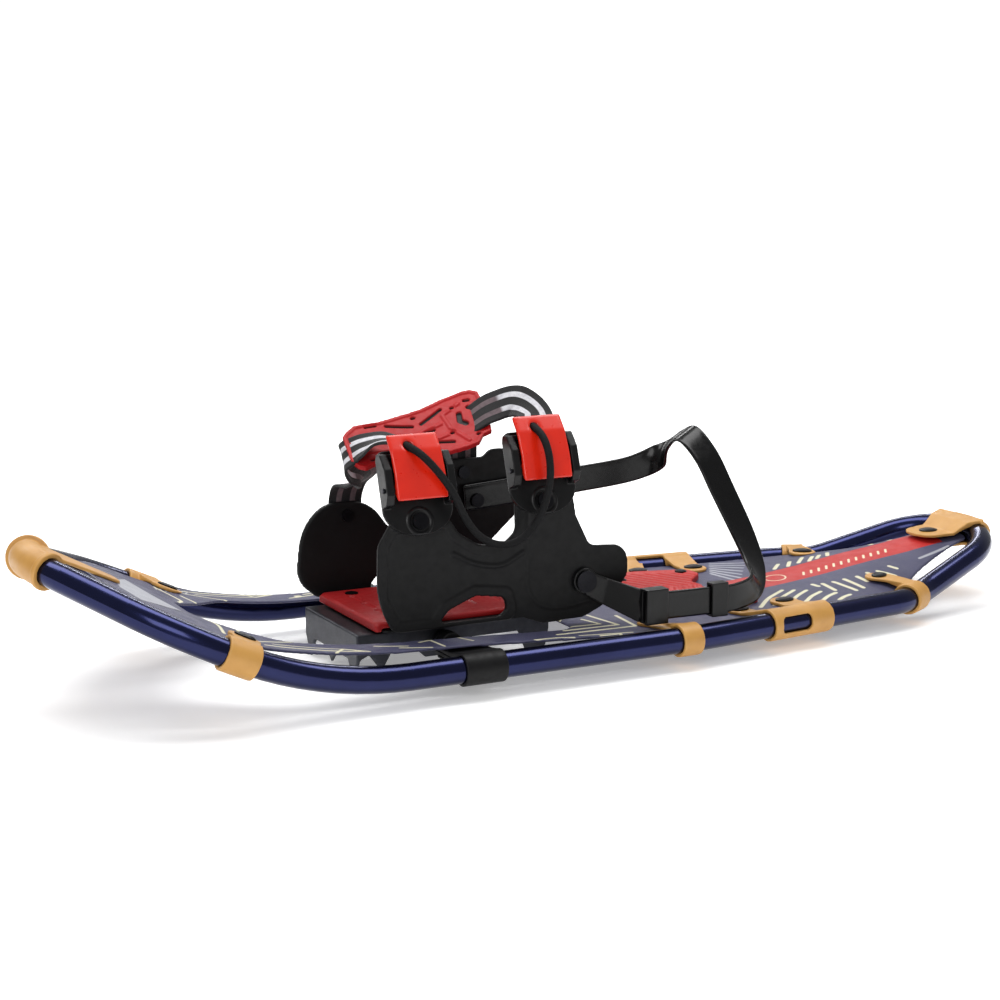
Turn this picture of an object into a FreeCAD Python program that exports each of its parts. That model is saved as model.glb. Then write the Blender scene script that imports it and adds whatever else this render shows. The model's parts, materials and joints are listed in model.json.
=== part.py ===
import FreeCAD, Part
import math
import os

# One snowshoe, left foot: a bent tube frame, a sheet deck, and a binding that turns on a cross rod.
# Working axes, in millimetres: x runs from the toe of the tube's centreline to the tail, y to the
# wearer's right, z up from the axis of the side tubes. save() moves each piece to the object's own
# origin, at the bottom centre of its box.

os.makedirs("parts", exist_ok=True)
V = FreeCAD.Vector

# --- driving dimensions ---------------------------------------------------------------------
TUBE_R = 9.0
TUBE_WALL = 1.5
TAIL_X = 744.0
HALF_WIDTH = 105.5
TOE_RISE = 76.0
TAIL_RISE = 29.0
GROUND_DROP = 10.0          # how far the teeth reach below the tube
WRAP = 2.4                  # thickness of the moulded clips and wraps
CUFF_BEAD = 1.0             # how far the toe cuff's left rim stands up
CUFF_FLARE = 3.0            # and its right rim
GAP = 0.1
DECK_T = 2.0

PIVOT_X = 264.0
PIVOT_Z = 5.0
ROD_R = 4.0
RUNNING = 0.05
BINDING_HALF = 57.0         # inner face of the side wings
WING_T = 3.0
PLATE_TOP = 22.5

FLOOR = -TUBE_R - GROUND_DROP
ORIGIN = V(-TAIL_X / 2, 0, -FLOOR)
SIDES = (("left", -1), ("right", 1))


# --- helpers --------------------------------------------------------------------------------
def save(name, *solids):
    shape = solids[0] if len(solids) == 1 else Part.makeCompound(list(solids))
    moved = shape.copy()
    moved.translate(ORIGIN)
    moved.exportStep("parts/" + name + ".step")


def smooth(points, x):
    """Height at x on a smooth curve through the points."""
    last = len(points) - 1
    i = max(0, min(last - 1, sum(1 for p in points if p[0] <= x) - 1))
    x0, y0 = points[i]
    x1, y1 = points[i + 1]

    def slope(k):
        a, b = points[max(k - 1, 0)], points[min(k + 1, last)]
        return (b[1] - a[1]) / (b[0] - a[0])

    h = x1 - x0
    t = (x - x0) / h
    m0, m1 = slope(i) * h, slope(i + 1) * h
    return ((2 * t**3 - 3 * t**2 + 1) * y0 + (t**3 - 2 * t**2 + t) * m0
            + (3 * t**2 - 2 * t**3) * y1 + (t**3 - t**2) * m1)


def corner_arc(before, at, after, radius):
    """The arc of that radius that joins the two runs at a corner."""
    a = (before - at).normalize()
    b = (after - at).normalize()
    half = a.getAngle(b) / 2
    cut = radius / math.tan(half)
    middle = at + (a + b).normalize() * (radius / math.sin(half) - radius)
    return at + a * cut, middle, at + b * cut


def rounded_path(points, radii, closed=False):
    """A wire of straight runs and tangent arcs. Radii match the inner points, or all if closed."""
    count = len(points)
    inner = range(count) if closed else range(1, count - 1)
    arcs = [corner_arc(points[i - 1], points[i], points[(i + 1) % count], r) for i, r in zip(inner, radii)]
    edges = []
    here = arcs[-1][2] if closed else points[0]
    for start, middle, end in arcs:
        if here.distanceToPoint(start) > 1e-4:
            edges.append(Part.LineSegment(here, start).toShape())
        edges.append(Part.Arc(start, middle, end).toShape())
        here = end
    if not closed:
        edges.append(Part.LineSegment(here, points[-1]).toShape())
    return Part.Wire(edges)


def round_sweep(path, radius):
    first = path.Edges[0]
    start = first.valueAt(first.FirstParameter)
    along = first.tangentAt(first.FirstParameter)
    ring = Part.Wire(Part.makeCircle(radius, start, along))
    return path.makePipeShell([ring], True, False)


def box(x0, x1, y0, y1, z0, z1):
    return Part.makeBox(x1 - x0, y1 - y0, z1 - z0, V(x0, y0, z0))


def prism(wire, direction):
    return Part.Face(wire).extrude(direction)


def polygon(points):
    return Part.makePolygon(list(points) + [points[0]])


def plan(points, radii, z0, z1):
    """An upright solid on a rounded outline of (x, y) corners."""
    wire = rounded_path([V(x, y, z0) for x, y in points], radii, closed=True)
    return prism(wire, V(0, 0, z1 - z0))


def rod(start, end, radius):
    return Part.makeCylinder(radius, start.distanceToPoint(end), start, end - start)


def fused(shapes):
    whole = shapes[0]
    for shape in shapes[1:]:
        whole = whole.fuse(shape)
    return whole.removeSplitter()


def largest(shape):
    """The shape without the slivers that a cut can leave."""
    return max(shape.Solids, key=lambda solid: solid.Volume)


def mirrored(shape):
    return shape.mirror(V(0, 0, 0), V(0, 1, 0))


def band(stations, width, thickness):
    """A flat strap through stations of (centre, across): across is the direction of its width."""
    rings = []
    for i, (centre, across) in enumerate(stations):
        ahead = stations[min(i + 1, len(stations) - 1)][0] - stations[max(i - 1, 0)][0]
        side = V(*across)
        side = side - ahead * (side.dot(ahead) / ahead.dot(ahead))
        side.normalize()
        face = ahead.cross(side).normalize()
        s, f = side * (width / 2), face * (thickness / 2)
        rings.append(polygon([centre - s - f, centre + s - f, centre + s + f, centre - s + f]))
    return Part.makeLoft(rings, True, True)


class Place:
    """A local frame: a runs along the first direction, c along the second made square to it."""

    def __init__(self, origin, along, up):
        self.origin = origin
        self.a = V(along).normalize()
        self.b = V(up).cross(self.a).normalize()
        self.c = self.a.cross(self.b)

    def point(self, a, b, c):
        return self.origin + self.a * a + self.b * b + self.c * c

    def put(self, shape):
        m = FreeCAD.Matrix(self.a.x, self.b.x, self.c.x, self.origin.x,
                           self.a.y, self.b.y, self.c.y, self.origin.y,
                           self.a.z, self.b.z, self.c.z, self.origin.z, 0, 0, 0, 1)
        return shape.transformShape(m, True)


# --- frame tube ------------------------------------------------------------------------------
HALF_LOOP = [
    (V(TAIL_X, 43, TAIL_RISE), 50),
    (V(648, 69.5, 0), 66),
    (V(624, 83, 0), 62),
    (V(430, HALF_WIDTH, 0), 400),
    (V(156, HALF_WIDTH, 0), 260),
    (V(66, HALF_WIDTH, 42), 90),
    (V(0, 20, TOE_RISE), 52),
]
SPLICE_GAP = 0.2


def flip(point):
    return V(point.x, -point.y, point.z)


loop_points = [V(TAIL_X, SPLICE_GAP, TAIL_RISE)] + [p for p, r in HALF_LOOP]
loop_points = loop_points + [flip(p) for p in reversed(loop_points)]
loop_radii = [r for p, r in HALF_LOOP]
loop_radii = loop_radii + loop_radii[::-1]
TUBE_PATH = rounded_path(loop_points, loop_radii)
tube_solid = round_sweep(TUBE_PATH, TUBE_R)
wrap_solid = round_sweep(TUBE_PATH, TUBE_R + WRAP)
bore_solid = round_sweep(TUBE_PATH, TUBE_R - TUBE_WALL)


def tube_station(x):
    """Centre and direction of the right-hand tube where it passes x."""
    best = None
    for edge in TUBE_PATH.Edges:
        first, last = edge.FirstParameter, edge.LastParameter
        for k in range(201):
            t = first + (last - first) * k / 200
            point = edge.valueAt(t)
            if point.y > 0 and (best is None or abs(point.x - x) < abs(best[0].x - x)):
                best = (point, edge.tangentAt(t))
    centre, along = best
    return centre, along if along.x > 0 else along * -1


def build_tube():
    save("frame_tube", tube_solid.cut(bore_solid))
    plug = TUBE_R - TUBE_WALL - RUNNING
    bridge = rod(V(TAIL_X, -1, TAIL_RISE), V(TAIL_X, 1, TAIL_RISE), plug)
    core = rod(V(TAIL_X, -2, TAIL_RISE), V(TAIL_X, 2, TAIL_RISE), plug - TUBE_WALL)
    ends = round_sweep(TUBE_PATH, plug).common(box(TAIL_X - 40, TAIL_X + 40, -22, 22, 0, 60))
    hollow = round_sweep(TUBE_PATH, plug - TUBE_WALL)
    save("tube_splice", ends.fuse(bridge).cut(hollow).cut(core).removeSplitter())


# --- deck ------------------------------------------------------------------------------------
# Height of the deck's top face along its edges, and how far its middle stands above them.
DECK_EDGE = [(20, 75), (60, 54.5), (109, 31), (155, 20), (200, 14.5), (268, 12.2), (330, 9), (423, 5),
             (500, 3.6), (560, 3.6), (626, 4.8), (660, 9.5), (700, 18.5), (750, 31)]
DECK_CROWN = [(20, 0), (500, 0), (530, 0.5), (560, 2.5), (590, 5.5), (636, 10), (684, 7.5), (712, 5),
              (750, 0)]
DECK_SIDE = [(37, 44), (60, 73), (82, 86), (109, 91), (155, 91), (205, 91), (268, 93), (330, 95),
             (423, 96), (460, 93), (500, 88.5), (560, 81.5), (600, 76.5), (624, 72), (644, 60),
             (664, 46), (690, 33), (715, 24), (737, 20)]
OPENING = [(98, -17), (98, 17), (146, 64), (262, 71.5), (354, 71.5), (354, -71.5), (262, -71.5), (146, -64)]
OPENING_RADII = [8, 8, 28, 120, 14, 14, 120, 28]
deck_holes = []


def deck_top(x, y):
    half = smooth(DECK_SIDE, x)
    return smooth(DECK_EDGE, x) + smooth(DECK_CROWN, x) * (1 - (y / half) ** 2)


def deck_sheet(x0, x1, lift, thickness, steps_x, steps_y=8):
    """A sheet over the deck's full width between x0 and x1, lift above the deck's top face."""
    rows = []
    for i in range(steps_x + 1):
        x = x0 + (x1 - x0) * i / steps_x
        half = smooth(DECK_SIDE, x)
        ys = [half * (2 * j / steps_y - 1) for j in range(steps_y + 1)]
        rows.append([V(x, y, deck_top(x, y) + lift) for y in ys])
    surface = Part.BSplineSurface()
    surface.interpolate(rows)
    return surface.toShape().extrude(V(0, 0, thickness))


deck_room = deck_sheet(37, 737, -DECK_T - GAP, DECK_T + 2 * GAP, 50)


def build_deck():
    deck = deck_sheet(37, 737, -DECK_T, DECK_T, 50)
    deck = deck.cut(round_sweep(TUBE_PATH, TUBE_R + 0.3))
    deck = deck.cut(plan(OPENING, OPENING_RADII, -40, 130))
    for hole in deck_holes:
        deck = deck.cut(hole)
    save("deck", largest(deck))


# --- clips, wraps and their rivets -----------------------------------------------------------
RIVET_R = 2.0
rivets = []


def rivet(place, a, b, low, high, long_r, wide_r):
    """A hollow-domed rivet: an oval cap on top, a shank, and a round head below."""
    shank = Part.makeCylinder(RIVET_R, high - low, V(a, b, low))
    cap = Part.makeCylinder(wide_r, 1.0, V(0, 0, 0)).fuse(
        Part.makeCone(wide_r, wide_r * 0.6, 0.8, V(0, 0, 1.0)))
    stretch = FreeCAD.Matrix()
    stretch.scale(V(long_r / wide_r, 1, 1))
    cap = cap.transformGeometry(stretch)
    cap.translate(V(a, b, high))
    head = Part.makeCylinder(4.5, 1.2, V(a, b, low - 1.2))
    solid = place.put(fused([shank, cap, head]))
    rivets.append(solid)
    hole = place.put(Part.makeCylinder(RIVET_R + RUNNING, 60, V(a, b, -30)))
    deck_holes.append(hole)
    return hole, solid


def ear(a, b, radius, root_half, root_b, limit):
    """Outline of a clip's ear: it narrows from the band to a round end about its rivet."""
    low, high = max(a - root_half, -limit), min(a + root_half, limit)
    trapezoid = prism(polygon([V(low, root_b, -40), V(high, root_b, -40),
                               V(a + radius * 0.92, b - radius * 0.4, -40),
                               V(a - radius * 0.92, b - radius * 0.4, -40)]), V(0, 0, 80))
    return trapezoid.fuse(Part.makeCylinder(radius, 80, V(a, b, -40)))


def clip(x, length, ears, window=None):
    """A moulded clip round the right-hand tube, with flanges over and under the deck.

    Each ear is (along, inboard, radius, half width at the band) about its rivet.
    """
    centre, along = tube_station(x)
    place = Place(centre, along, V(0, 0, 1))
    if place.b.y > 0:
        place.b = place.b * -1
        place.a = place.a * -1
    half = length / 2
    slab = place.put(box(-half, half, -30, 30, -30, 30))
    reach = max(b + r for a, b, r, w in ears)
    flat_b = min(b - r for a, b, r, w in ears)
    spots = [place.point(a, b, 0) for a, b, r, w in ears]
    tops = [(V(p.x, p.y, deck_top(p.x, p.y)) - place.origin).dot(place.c) for p in spots]
    top = max(tops) + GAP
    under = min(tops) - DECK_T - GAP
    upper = [V(0, 0, TUBE_R + WRAP), V(0, flat_b, top + WRAP), V(0, reach, top + WRAP),
             V(0, reach, top), V(0, flat_b, top), V(0, TUBE_R * 0.5, TUBE_R * 0.7), V(0, 0, TUBE_R)]
    lower = [V(0, 0, -TUBE_R - WRAP), V(0, flat_b, under - WRAP), V(0, reach, under - WRAP),
             V(0, reach, under), V(0, flat_b, under), V(0, TUBE_R * 0.5, -TUBE_R * 0.7), V(0, 0, -TUBE_R)]
    flanges = []
    outline = fused([ear(a, b, r, w, 2, half) for a, b, r, w in ears])
    for profile in (upper, lower):
        plate = prism(polygon(profile), V(2 * half + 40, 0, 0))
        plate.translate(V(-half - 20, 0, 0))
        flanges.append(place.put(plate.common(outline)))
    body = fused([wrap_solid.common(slab)] + flanges).cut(tube_solid).cut(deck_room).cut(BUCKLE_ROOM)
    for (a, b, r, w), spot in zip(ears, tops):
        wide = (7.5, 5.2) if r > 8 else (4.5, 4.0)
        for cutter in rivet(place, a, b, under - WRAP, top + WRAP, *wide):
            body = body.cut(cutter)
    if window:
        shift, wide, low, high = window
        hole = box(shift - wide / 2, shift + wide / 2, -20, 1, low, high)
        hole = hole.makeFillet(3.5, [e for e in hole.Edges if abs(e.tangentAt(e.FirstParameter).y) > 0.9])
        body = body.cut(place.put(hole))
        body = body.cut(place.put(box(shift - wide / 2 + 1.5, shift + wide / 2 - 1.5, 2.5, 12, 2.5, 16)))
    return largest(body)


CLIPS = {
    "front_clip": (99.5, 22, [(-9, 28.5, 11, 14)], None),
    "side_clip": (420.5, 16, [(14.5, 28, 6.5, 16)], None),
    "window_clip": (518, 54, [(28, 28.5, 8.5, 14), (-17.5, 32, 10.5, 13)], (7, 27, -5, 6.5)),
    "rear_clip": (635.5, 17, [(-5, 28.5, 10.5, 10)], None),
}
BUCKLE_ROOM = box(385, 413, 86, 100, 7.4, 40)   # where the heel buckle passes over a clip's ear


def build_clips():
    for name, (x, length, ears, window) in CLIPS.items():
        shape = clip(x, length, ears, window)
        save(name + "_right", shape)
        save(name + "_left", mirrored(shape))
    for k in range(len(rivets)):
        rivets.append(mirrored(rivets[k]))
        deck_holes.append(mirrored(deck_holes[k]))


def toe_station(y):
    """Centre of the tube where it crosses y at the toe, and its direction away from the middle."""
    best = None
    for edge in TUBE_PATH.Edges:
        first, last = edge.FirstParameter, edge.LastParameter
        for k in range(201):
            t = first + (last - first) * k / 200
            point = edge.valueAt(t)
            if point.x < 60 and (best is None or abs(point.y - y) < abs(best[0].y - y)):
                best = (point, edge.tangentAt(t))
    centre, along = best
    return centre, along if along.y * y > 0 else along * -1


def build_toe_wrap():
    """A flared cuff over the toe of the tube, with a tongue that lies back along the deck."""
    half = 25
    cuff = wrap_solid.common(box(-30, 60, -60, 60, 30, 110))
    rims = []
    for side in (-1, 1):
        centre, along = toe_station(side * half)
        place = Place(centre, along, V(0, 0, 1))
        cuff = cuff.cut(place.put(box(0, 120, -40, 40, -40, 40)))
        rim_r = TUBE_R + WRAP + (CUFF_FLARE if side > 0 else CUFF_BEAD)
        rims.append(place.put(Part.makeCylinder(rim_r, 3.5, V(-3.5, 0, 0), V(1, 0, 0))))
    rise, run = 85.4, 0.513
    tip = 56
    profile = [V(2, -40, rise - run * 2), V(tip, -40, rise - run * tip), V(tip, -40, rise - run * tip + 2.2),
               V(2, -40, rise - run * 2 + 2.4)]
    sheet = prism(polygon(profile), V(0, 80, 0))
    shape = [(2, -22), (2, 22), (12, 23), (35, 14.5), (tip, 9.5), (tip, -9.5), (35, -14.5), (12, -23)]
    tongue = sheet.common(plan(shape, [3, 3, 10, 20, 7, 7, 20, 10], 30, 110))
    save("toe_wrap", largest(fused([cuff, tongue] + rims).cut(tube_solid).cut(deck_room)))


def build_tail_wrap():
    """A tongue riveted to the deck's tail, carried over the tail tube and back under it."""
    half = 27
    rivet_x, end_r = 711, 15
    cuff = wrap_solid.common(box(TAIL_X - 3, TAIL_X + 30, -half, half, 0, 60))
    top = deck_top(rivet_x, 0) + GAP + 0.6
    under = deck_top(rivet_x, 0) - DECK_T - GAP - 1.6
    crest = TAIL_RISE + TUBE_R
    upper = [V(rivet_x - 20, -40, top), V(rivet_x + 10, -40, top + 1.2), V(730, -40, crest - 5),
             V(TAIL_X, -40, crest), V(TAIL_X, -40, crest + WRAP), V(732, -40, crest + WRAP - 2),
             V(rivet_x + 10, -40, top + 1.2 + WRAP), V(rivet_x - 20, -40, top + WRAP)]
    foot = TAIL_RISE - TUBE_R
    lower = [V(rivet_x - 20, -40, under - 3), V(730, -40, under), V(TAIL_X, -40, foot),
             V(TAIL_X, -40, foot - WRAP), V(730, -40, under - WRAP), V(rivet_x - 20, -40, under - 3 - WRAP)]
    outline = plan([(rivet_x - end_r, end_r), (725, 20), (TAIL_X + 1, half), (TAIL_X + 1, -half),
                    (725, -20), (rivet_x - end_r, -end_r)], [13, 30, 1, 1, 30, 13], -10, 80)
    leaves = [prism(polygon(p), V(0, 80, 0)).common(outline) for p in (upper, lower)]
    wrap = fused([cuff] + leaves).cut(tube_solid)
    place = Place(V(rivet_x, 0, 0), V(1, 0, 0), V(0, 0, 1))
    for cutter in rivet(place, 0, 0, under - 3, top + WRAP + 0.6, 7.5, 6.2):
        wrap = wrap.cut(cutter)
    save("tail_wrap", largest(wrap.cut(deck_room)))


# --- heel pad and heel crampon ---------------------------------------------------------------
HEEL_RIVETS = [(450, 34), (508, 42)]


def build_heel():
    """The traction pad under the boot's heel, and the toothed steel below the deck."""
    corners = [(428, -40), (428, 40), (448, 60), (478, 60), (519, 50), (519, 33), (498, 12), (498, -12),
               (519, -33), (519, -50), (478, -60), (448, -60)]
    pad = deck_sheet(415, 540, GAP, 5.0, 8)
    pad = pad.common(plan(corners, [10, 10, 14, 40, 8, 8, 14, 14, 8, 8, 40, 14], -10, 30))
    place = Place(V(0, 0, 0), V(1, 0, 0), V(0, 0, 1))
    base = 1.0
    rails = []
    for side in (-1, 1):
        y0, y1 = sorted((side * 44, side * 24))
        rails.append(box(442, 516, y0, y1, base - 2.5, base))
        teeth = [(442, base), (516, base), (516, -8), (508, FLOOR), (500, -8), (487, -8), (479, FLOOR),
                 (471, -8), (458, -8), (450, FLOOR), (442, -8)]
        wall = prism(polygon([V(x, side * 24, z) for x, z in teeth]), V(0, -side * 2.5, 0))
        rails.append(wall)
    bridge = box(474, 484, -22, 22, base - 2.5, base)
    crampon = fused(rails + [bridge])
    for x, y in HEEL_RIVETS:
        for side in (-1, 1):
            for cutter in rivet(place, x, side * y, base - 2.5, deck_top(x, y) + GAP + 5.2, 4.5, 4.5):
                crampon = crampon.cut(cutter)
                pad = pad.cut(cutter)
    save("heel_pad", pad)
    save("heel_crampon", crampon)


# --- pivot -----------------------------------------------------------------------------------
STRAP_W = 30
BLOCK_R = 8.0
BLOCK_IN, BLOCK_OUT = 52.0, 62.0


def build_pivot():
    """A rod across the toe opening, in two bearing blocks that hang from straps round the tube."""
    half = STRAP_W / 2
    ends = V(PIVOT_X, -BLOCK_OUT + 1, PIVOT_Z), V(PIVOT_X, BLOCK_OUT - 1, PIVOT_Z)
    save("pivot_rod", rod(*ends, ROD_R))
    tab_low, tab_high = 2.0, 5.0
    neck = box(PIVOT_X - 9, PIVOT_X + 9, BLOCK_OUT - 4, 67, tab_low, tab_high)
    tab = box(PIVOT_X - half, PIVOT_X + half, 66, 92, tab_low, tab_high).fuse(neck)
    barrel = rod(V(PIVOT_X, BLOCK_IN, PIVOT_Z), V(PIVOT_X, BLOCK_OUT, PIVOT_Z), BLOCK_R)
    bore = rod(V(PIVOT_X, 0, PIVOT_Z), V(PIVOT_X, BLOCK_OUT - 1, PIVOT_Z), ROD_R)
    block = fused([barrel, tab]).cut(bore)
    round_tube = tube_solid.common(box(PIVOT_X - 30, PIVOT_X + 30, 80, 130, -20, 20))
    loop = rod(V(PIVOT_X - half, HALF_WIDTH, 0), V(PIVOT_X + half, HALF_WIDTH, 0), TUBE_R + 2.0)
    upper = [V(0, HALF_WIDTH, TUBE_R + 2), V(0, 92, 8.6), V(0, 70, 7.2), V(0, 70, tab_high), V(0, 96, tab_high),
             V(0, HALF_WIDTH, TUBE_R)]
    lower = [V(0, HALF_WIDTH, -TUBE_R - 2), V(0, 92, tab_low - 2.2), V(0, 70, tab_low - 2.0),
             V(0, 70, tab_low), V(0, 94, tab_low), V(0, HALF_WIDTH, -TUBE_R)]
    leaves = []
    for profile in (upper, lower):
        leaf = prism(polygon(profile), V(STRAP_W, 0, 0))
        leaf.translate(V(PIVOT_X - half, 0, 0))
        leaves.append(leaf)
    strap = fused([loop] + leaves).cut(round_tube).cut(tab)
    pins = []
    for x in (PIVOT_X - 9, PIVOT_X + 9):
        pin = fused([rod(V(x, 78, -2.2), V(x, 78, 7.8), 2.0), rod(V(x, 78, -2.2), V(x, 78, -1.2), 4.0),
                     rod(V(x, 78, 7.8), V(x, 78, 8.8), 4.0)])
        hole = rod(V(x, 78, -2.2), V(x, 78, 9), 4.0).common(box(0, 800, 0, 200, -9, tab_low - 2.1))
        pins.append(pin)
        strap = strap.cut(pin).cut(hole)
        block = block.cut(pin)
    washer = rod(V(PIVOT_X, 47.9, PIVOT_Z), V(PIVOT_X, 51.7, PIVOT_Z), 7.0).cut(bore)
    for name, side in SIDES:
        turn = mirrored if side < 0 else (lambda s: s)
        save("pivot_block_" + name, turn(block))
        save("pivot_strap_" + name, turn(strap))
    save("pivot_strap_rivets", *pins, *[mirrored(p) for p in pins])
    save("pivot_washers", washer, mirrored(washer))


# --- binding base ----------------------------------------------------------------------------
BOLTS = [(234, 38), (322, 38)]
CRAMPON_TOP = 14.5
STEEL = 2.5
CRAMPON_HALF = 46.0
FLANGE_LOW, FLANGE_HIGH = 16.3, 18.3
BUSH_R = 5.5


def bolt_holes(shape, radius):
    for x, y in BOLTS:
        for side in (-1, 1):
            shape = shape.cut(rod(V(x, side * y, -5), V(x, side * y, 40), radius))
    return shape


def build_base():
    """Toe crampon, rubber base, and the red footplate, bolted together."""
    front, rear = 202.0, 346.0
    low = CRAMPON_TOP - STEEL
    top = plan([(front, -CRAMPON_HALF), (front, CRAMPON_HALF), (rear, CRAMPON_HALF), (rear, -CRAMPON_HALF)],
               [1, 1, 6, 6], low, CRAMPON_TOP)
    front_teeth = [(-46, CRAMPON_TOP), (46, CRAMPON_TOP), (46, -4), (38, FLOOR), (29, -5), (9, -5),
                   (0, -14), (-9, -5), (-29, -5), (-38, FLOOR), (-46, -4)]
    wall = prism(polygon([V(front, y, z) for y, z in front_teeth]), V(STEEL, 0, 0))
    side_teeth = [(front, CRAMPON_TOP), (rear, CRAMPON_TOP), (rear, 4), (341, FLOOR), (331, FLOOR + 1),
                  (322, 4), (286, 4), (276, -6), (252, -6), (242, 3), (229, 3), (220, -12), (211, 0),
                  (front, -4)]
    sides = []
    for side in (-1, 1):
        flat = polygon([V(x, side * CRAMPON_HALF, z) for x, z in side_teeth])
        sides.append(prism(flat, V(0, -side * STEEL, 0)))
    steel = fused([top, wall] + sides)
    steel = steel.cut(rod(V(PIVOT_X, -80, PIVOT_Z), V(PIVOT_X, 80, PIVOT_Z), BUSH_R))
    save("toe_crampon", bolt_holes(steel, 2.6))

    bushes = []
    for side in (-1, 1):
        y0, y1 = side * (CRAMPON_HALF - STEEL), side * CRAMPON_HALF
        sleeve = rod(V(PIVOT_X, y0, PIVOT_Z), V(PIVOT_X, y1, PIVOT_Z), BUSH_R)
        flange = rod(V(PIVOT_X, y1, PIVOT_Z), V(PIVOT_X, y1 + side * 1.6, PIVOT_Z), 7.0)
        hole = rod(V(PIVOT_X, -80, PIVOT_Z), V(PIVOT_X, 80, PIVOT_Z), ROD_R + RUNNING)
        bushes.append(sleeve.fuse(flange).removeSplitter().cut(hole))
    save("pivot_bushes", *bushes)

    base = plan([(220, -49), (220, 49), (342, 49), (342, -49)], [4, 4, 8, 8], CRAMPON_TOP, FLANGE_LOW)
    middle = plan([(222, -27), (222, 27), (340, 27), (340, -27)], [3, 3, 3, 3], FLANGE_LOW, FLANGE_HIGH)
    save("base_plate", bolt_holes(fused([base, middle]), 2.6))

    plate = plan([(214, -50), (214, 50), (345, 50), (345, -50)], [5, 5, 12, 12], FLANGE_HIGH, PLATE_TOP)
    lip = plan([(214, -50), (214, 50), (219, 50), (219, -50)], [2, 2, 2, 2], CRAMPON_TOP + 1.5, PLATE_TOP - 2)
    plate = fused([plate, lip])
    bevel = 1.6
    skirt = plan([(214, -50), (214, 50), (345, 50), (345, -50)], [5, 5, 12, 12], PLATE_TOP - bevel, PLATE_TOP)
    upper = [e for e in skirt.Edges if all(v.Z > PLATE_TOP - 0.01 for v in e.Vertexes)]
    rim = skirt.cut(skirt.makeChamfer(bevel - 0.05, upper))
    plate = plate.cut(rim)
    slots = [plan([(x, y - 9), (x, y + 9), (x + 5, y + 9), (x + 5, y - 9)], [2.4] * 4, 21.3, 30)
             for x in (228, 250, 272, 294, 316) for y in (-22, 0, 22)]
    for slot in slots:
        plate = plate.cut(slot)
    bolts = []
    nuts = []
    for x, y in BOLTS:
        for side in (-1, 1):
            foot = V(x, side * y, low - 4.2)
            seat = V(x, side * y, PLATE_TOP - 1.2)
            shank = rod(foot, V(x, side * y, PLATE_TOP - 1), 2.5)
            bolts.append(shank.fuse(Part.makeCylinder(4.6, 1.6, seat)).removeSplitter())
            plate = plate.cut(Part.makeCylinder(4.8, 9, seat))
            hexagon = polygon([V(x + 4.5 * math.cos(k * math.pi / 3), side * y + 4.5 * math.sin(k * math.pi / 3),
                                 low - 4) for k in range(6)])
            nuts.append(prism(hexagon, V(0, 0, 4)).cut(Part.makeCylinder(2.5, 30, foot)))
    save("foot_plate", bolt_holes(plate, 2.6))
    save("base_bolts", *bolts)
    save("base_nuts", *nuts)


# --- wings -----------------------------------------------------------------------------------
LEAN = math.radians(18)
WING_OUT = BINDING_HALF + WING_T
FRONT_BUCKLE = V(241, -WING_OUT, 90)
REAR_BUCKLE = V(333.5, -WING_OUT, 96)
LEFT_WING = [(222, 17), (211, 40), (212, 76), (221, 90.4), (263, 90.4), (270, 80), (284, 71),
             (302, 68), (313, 77), (312, 96.4), (357, 96.4), (359, 84), (370, 62), (399, 60), (401, 40),
             (388, 22), (366, 12), (334, 11), (318, 17)]
LEFT_RADII = [8, 60, 12, 1, 3, 6, 14, 12, 8, 1, 1, 10, 8, 12, 12, 20, 20, 12, 4]
RIGHT_WING = [(216, 17), (201, 30), (205, 66), (222, 84), (256, 84), (272, 62), (300, 54), (312, 64),
              (314, 108), (347, 108), (353, 113), (371, 113), (377, 66), (352, 44), (342, 15), (318, 17)]
RIGHT_RADII = [6, 20, 40, 26, 30, 16, 16, 8, 10, 4, 4, 10, 14, 10, 6, 4]
HEEL_RIVET = V(365, -WING_OUT, 38)


def buckle_place(spot):
    """Frame of a buckle: a along x, b down the wing's outside normal, c up the leaning lobe."""
    up = V(0, math.sin(LEAN), math.cos(LEAN))
    place = Place(spot, V(1, 0, 0), up)
    return place


def buckle_rivet():
    head = rod(V(0, -2.4, 0), V(0, -4.3, 0), 5.5)
    shank = rod(V(0, -2.4, 0), V(0, WING_T, 0), 2.0)
    tail = rod(V(0, WING_T, 0), V(0, WING_T + 1.2, 0), 4.0)
    return [head, shank, tail]


def wing_wall(outline, radii, side):
    y = side * BINDING_HALF
    wall = prism(rounded_path([V(x, y, z) for x, z in outline], radii, closed=True), V(0, side * WING_T, 0))
    hole = [V(255, y, 19.5), V(262, y, 28), (V(282, y, 36)), V(304, y, 33), V(306, y, 24), V(300, y, 19.5)]
    window = prism(rounded_path(hole, [2, 8, 12, 6, 4, 3], closed=True), V(0, side * WING_T, 0))
    y0, y1 = sorted((side * 28.0, side * BINDING_HALF))
    flange = box(226, 334, y0, y1, FLANGE_LOW, FLANGE_HIGH)
    return fused([wall.cut(window), flange])


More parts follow.
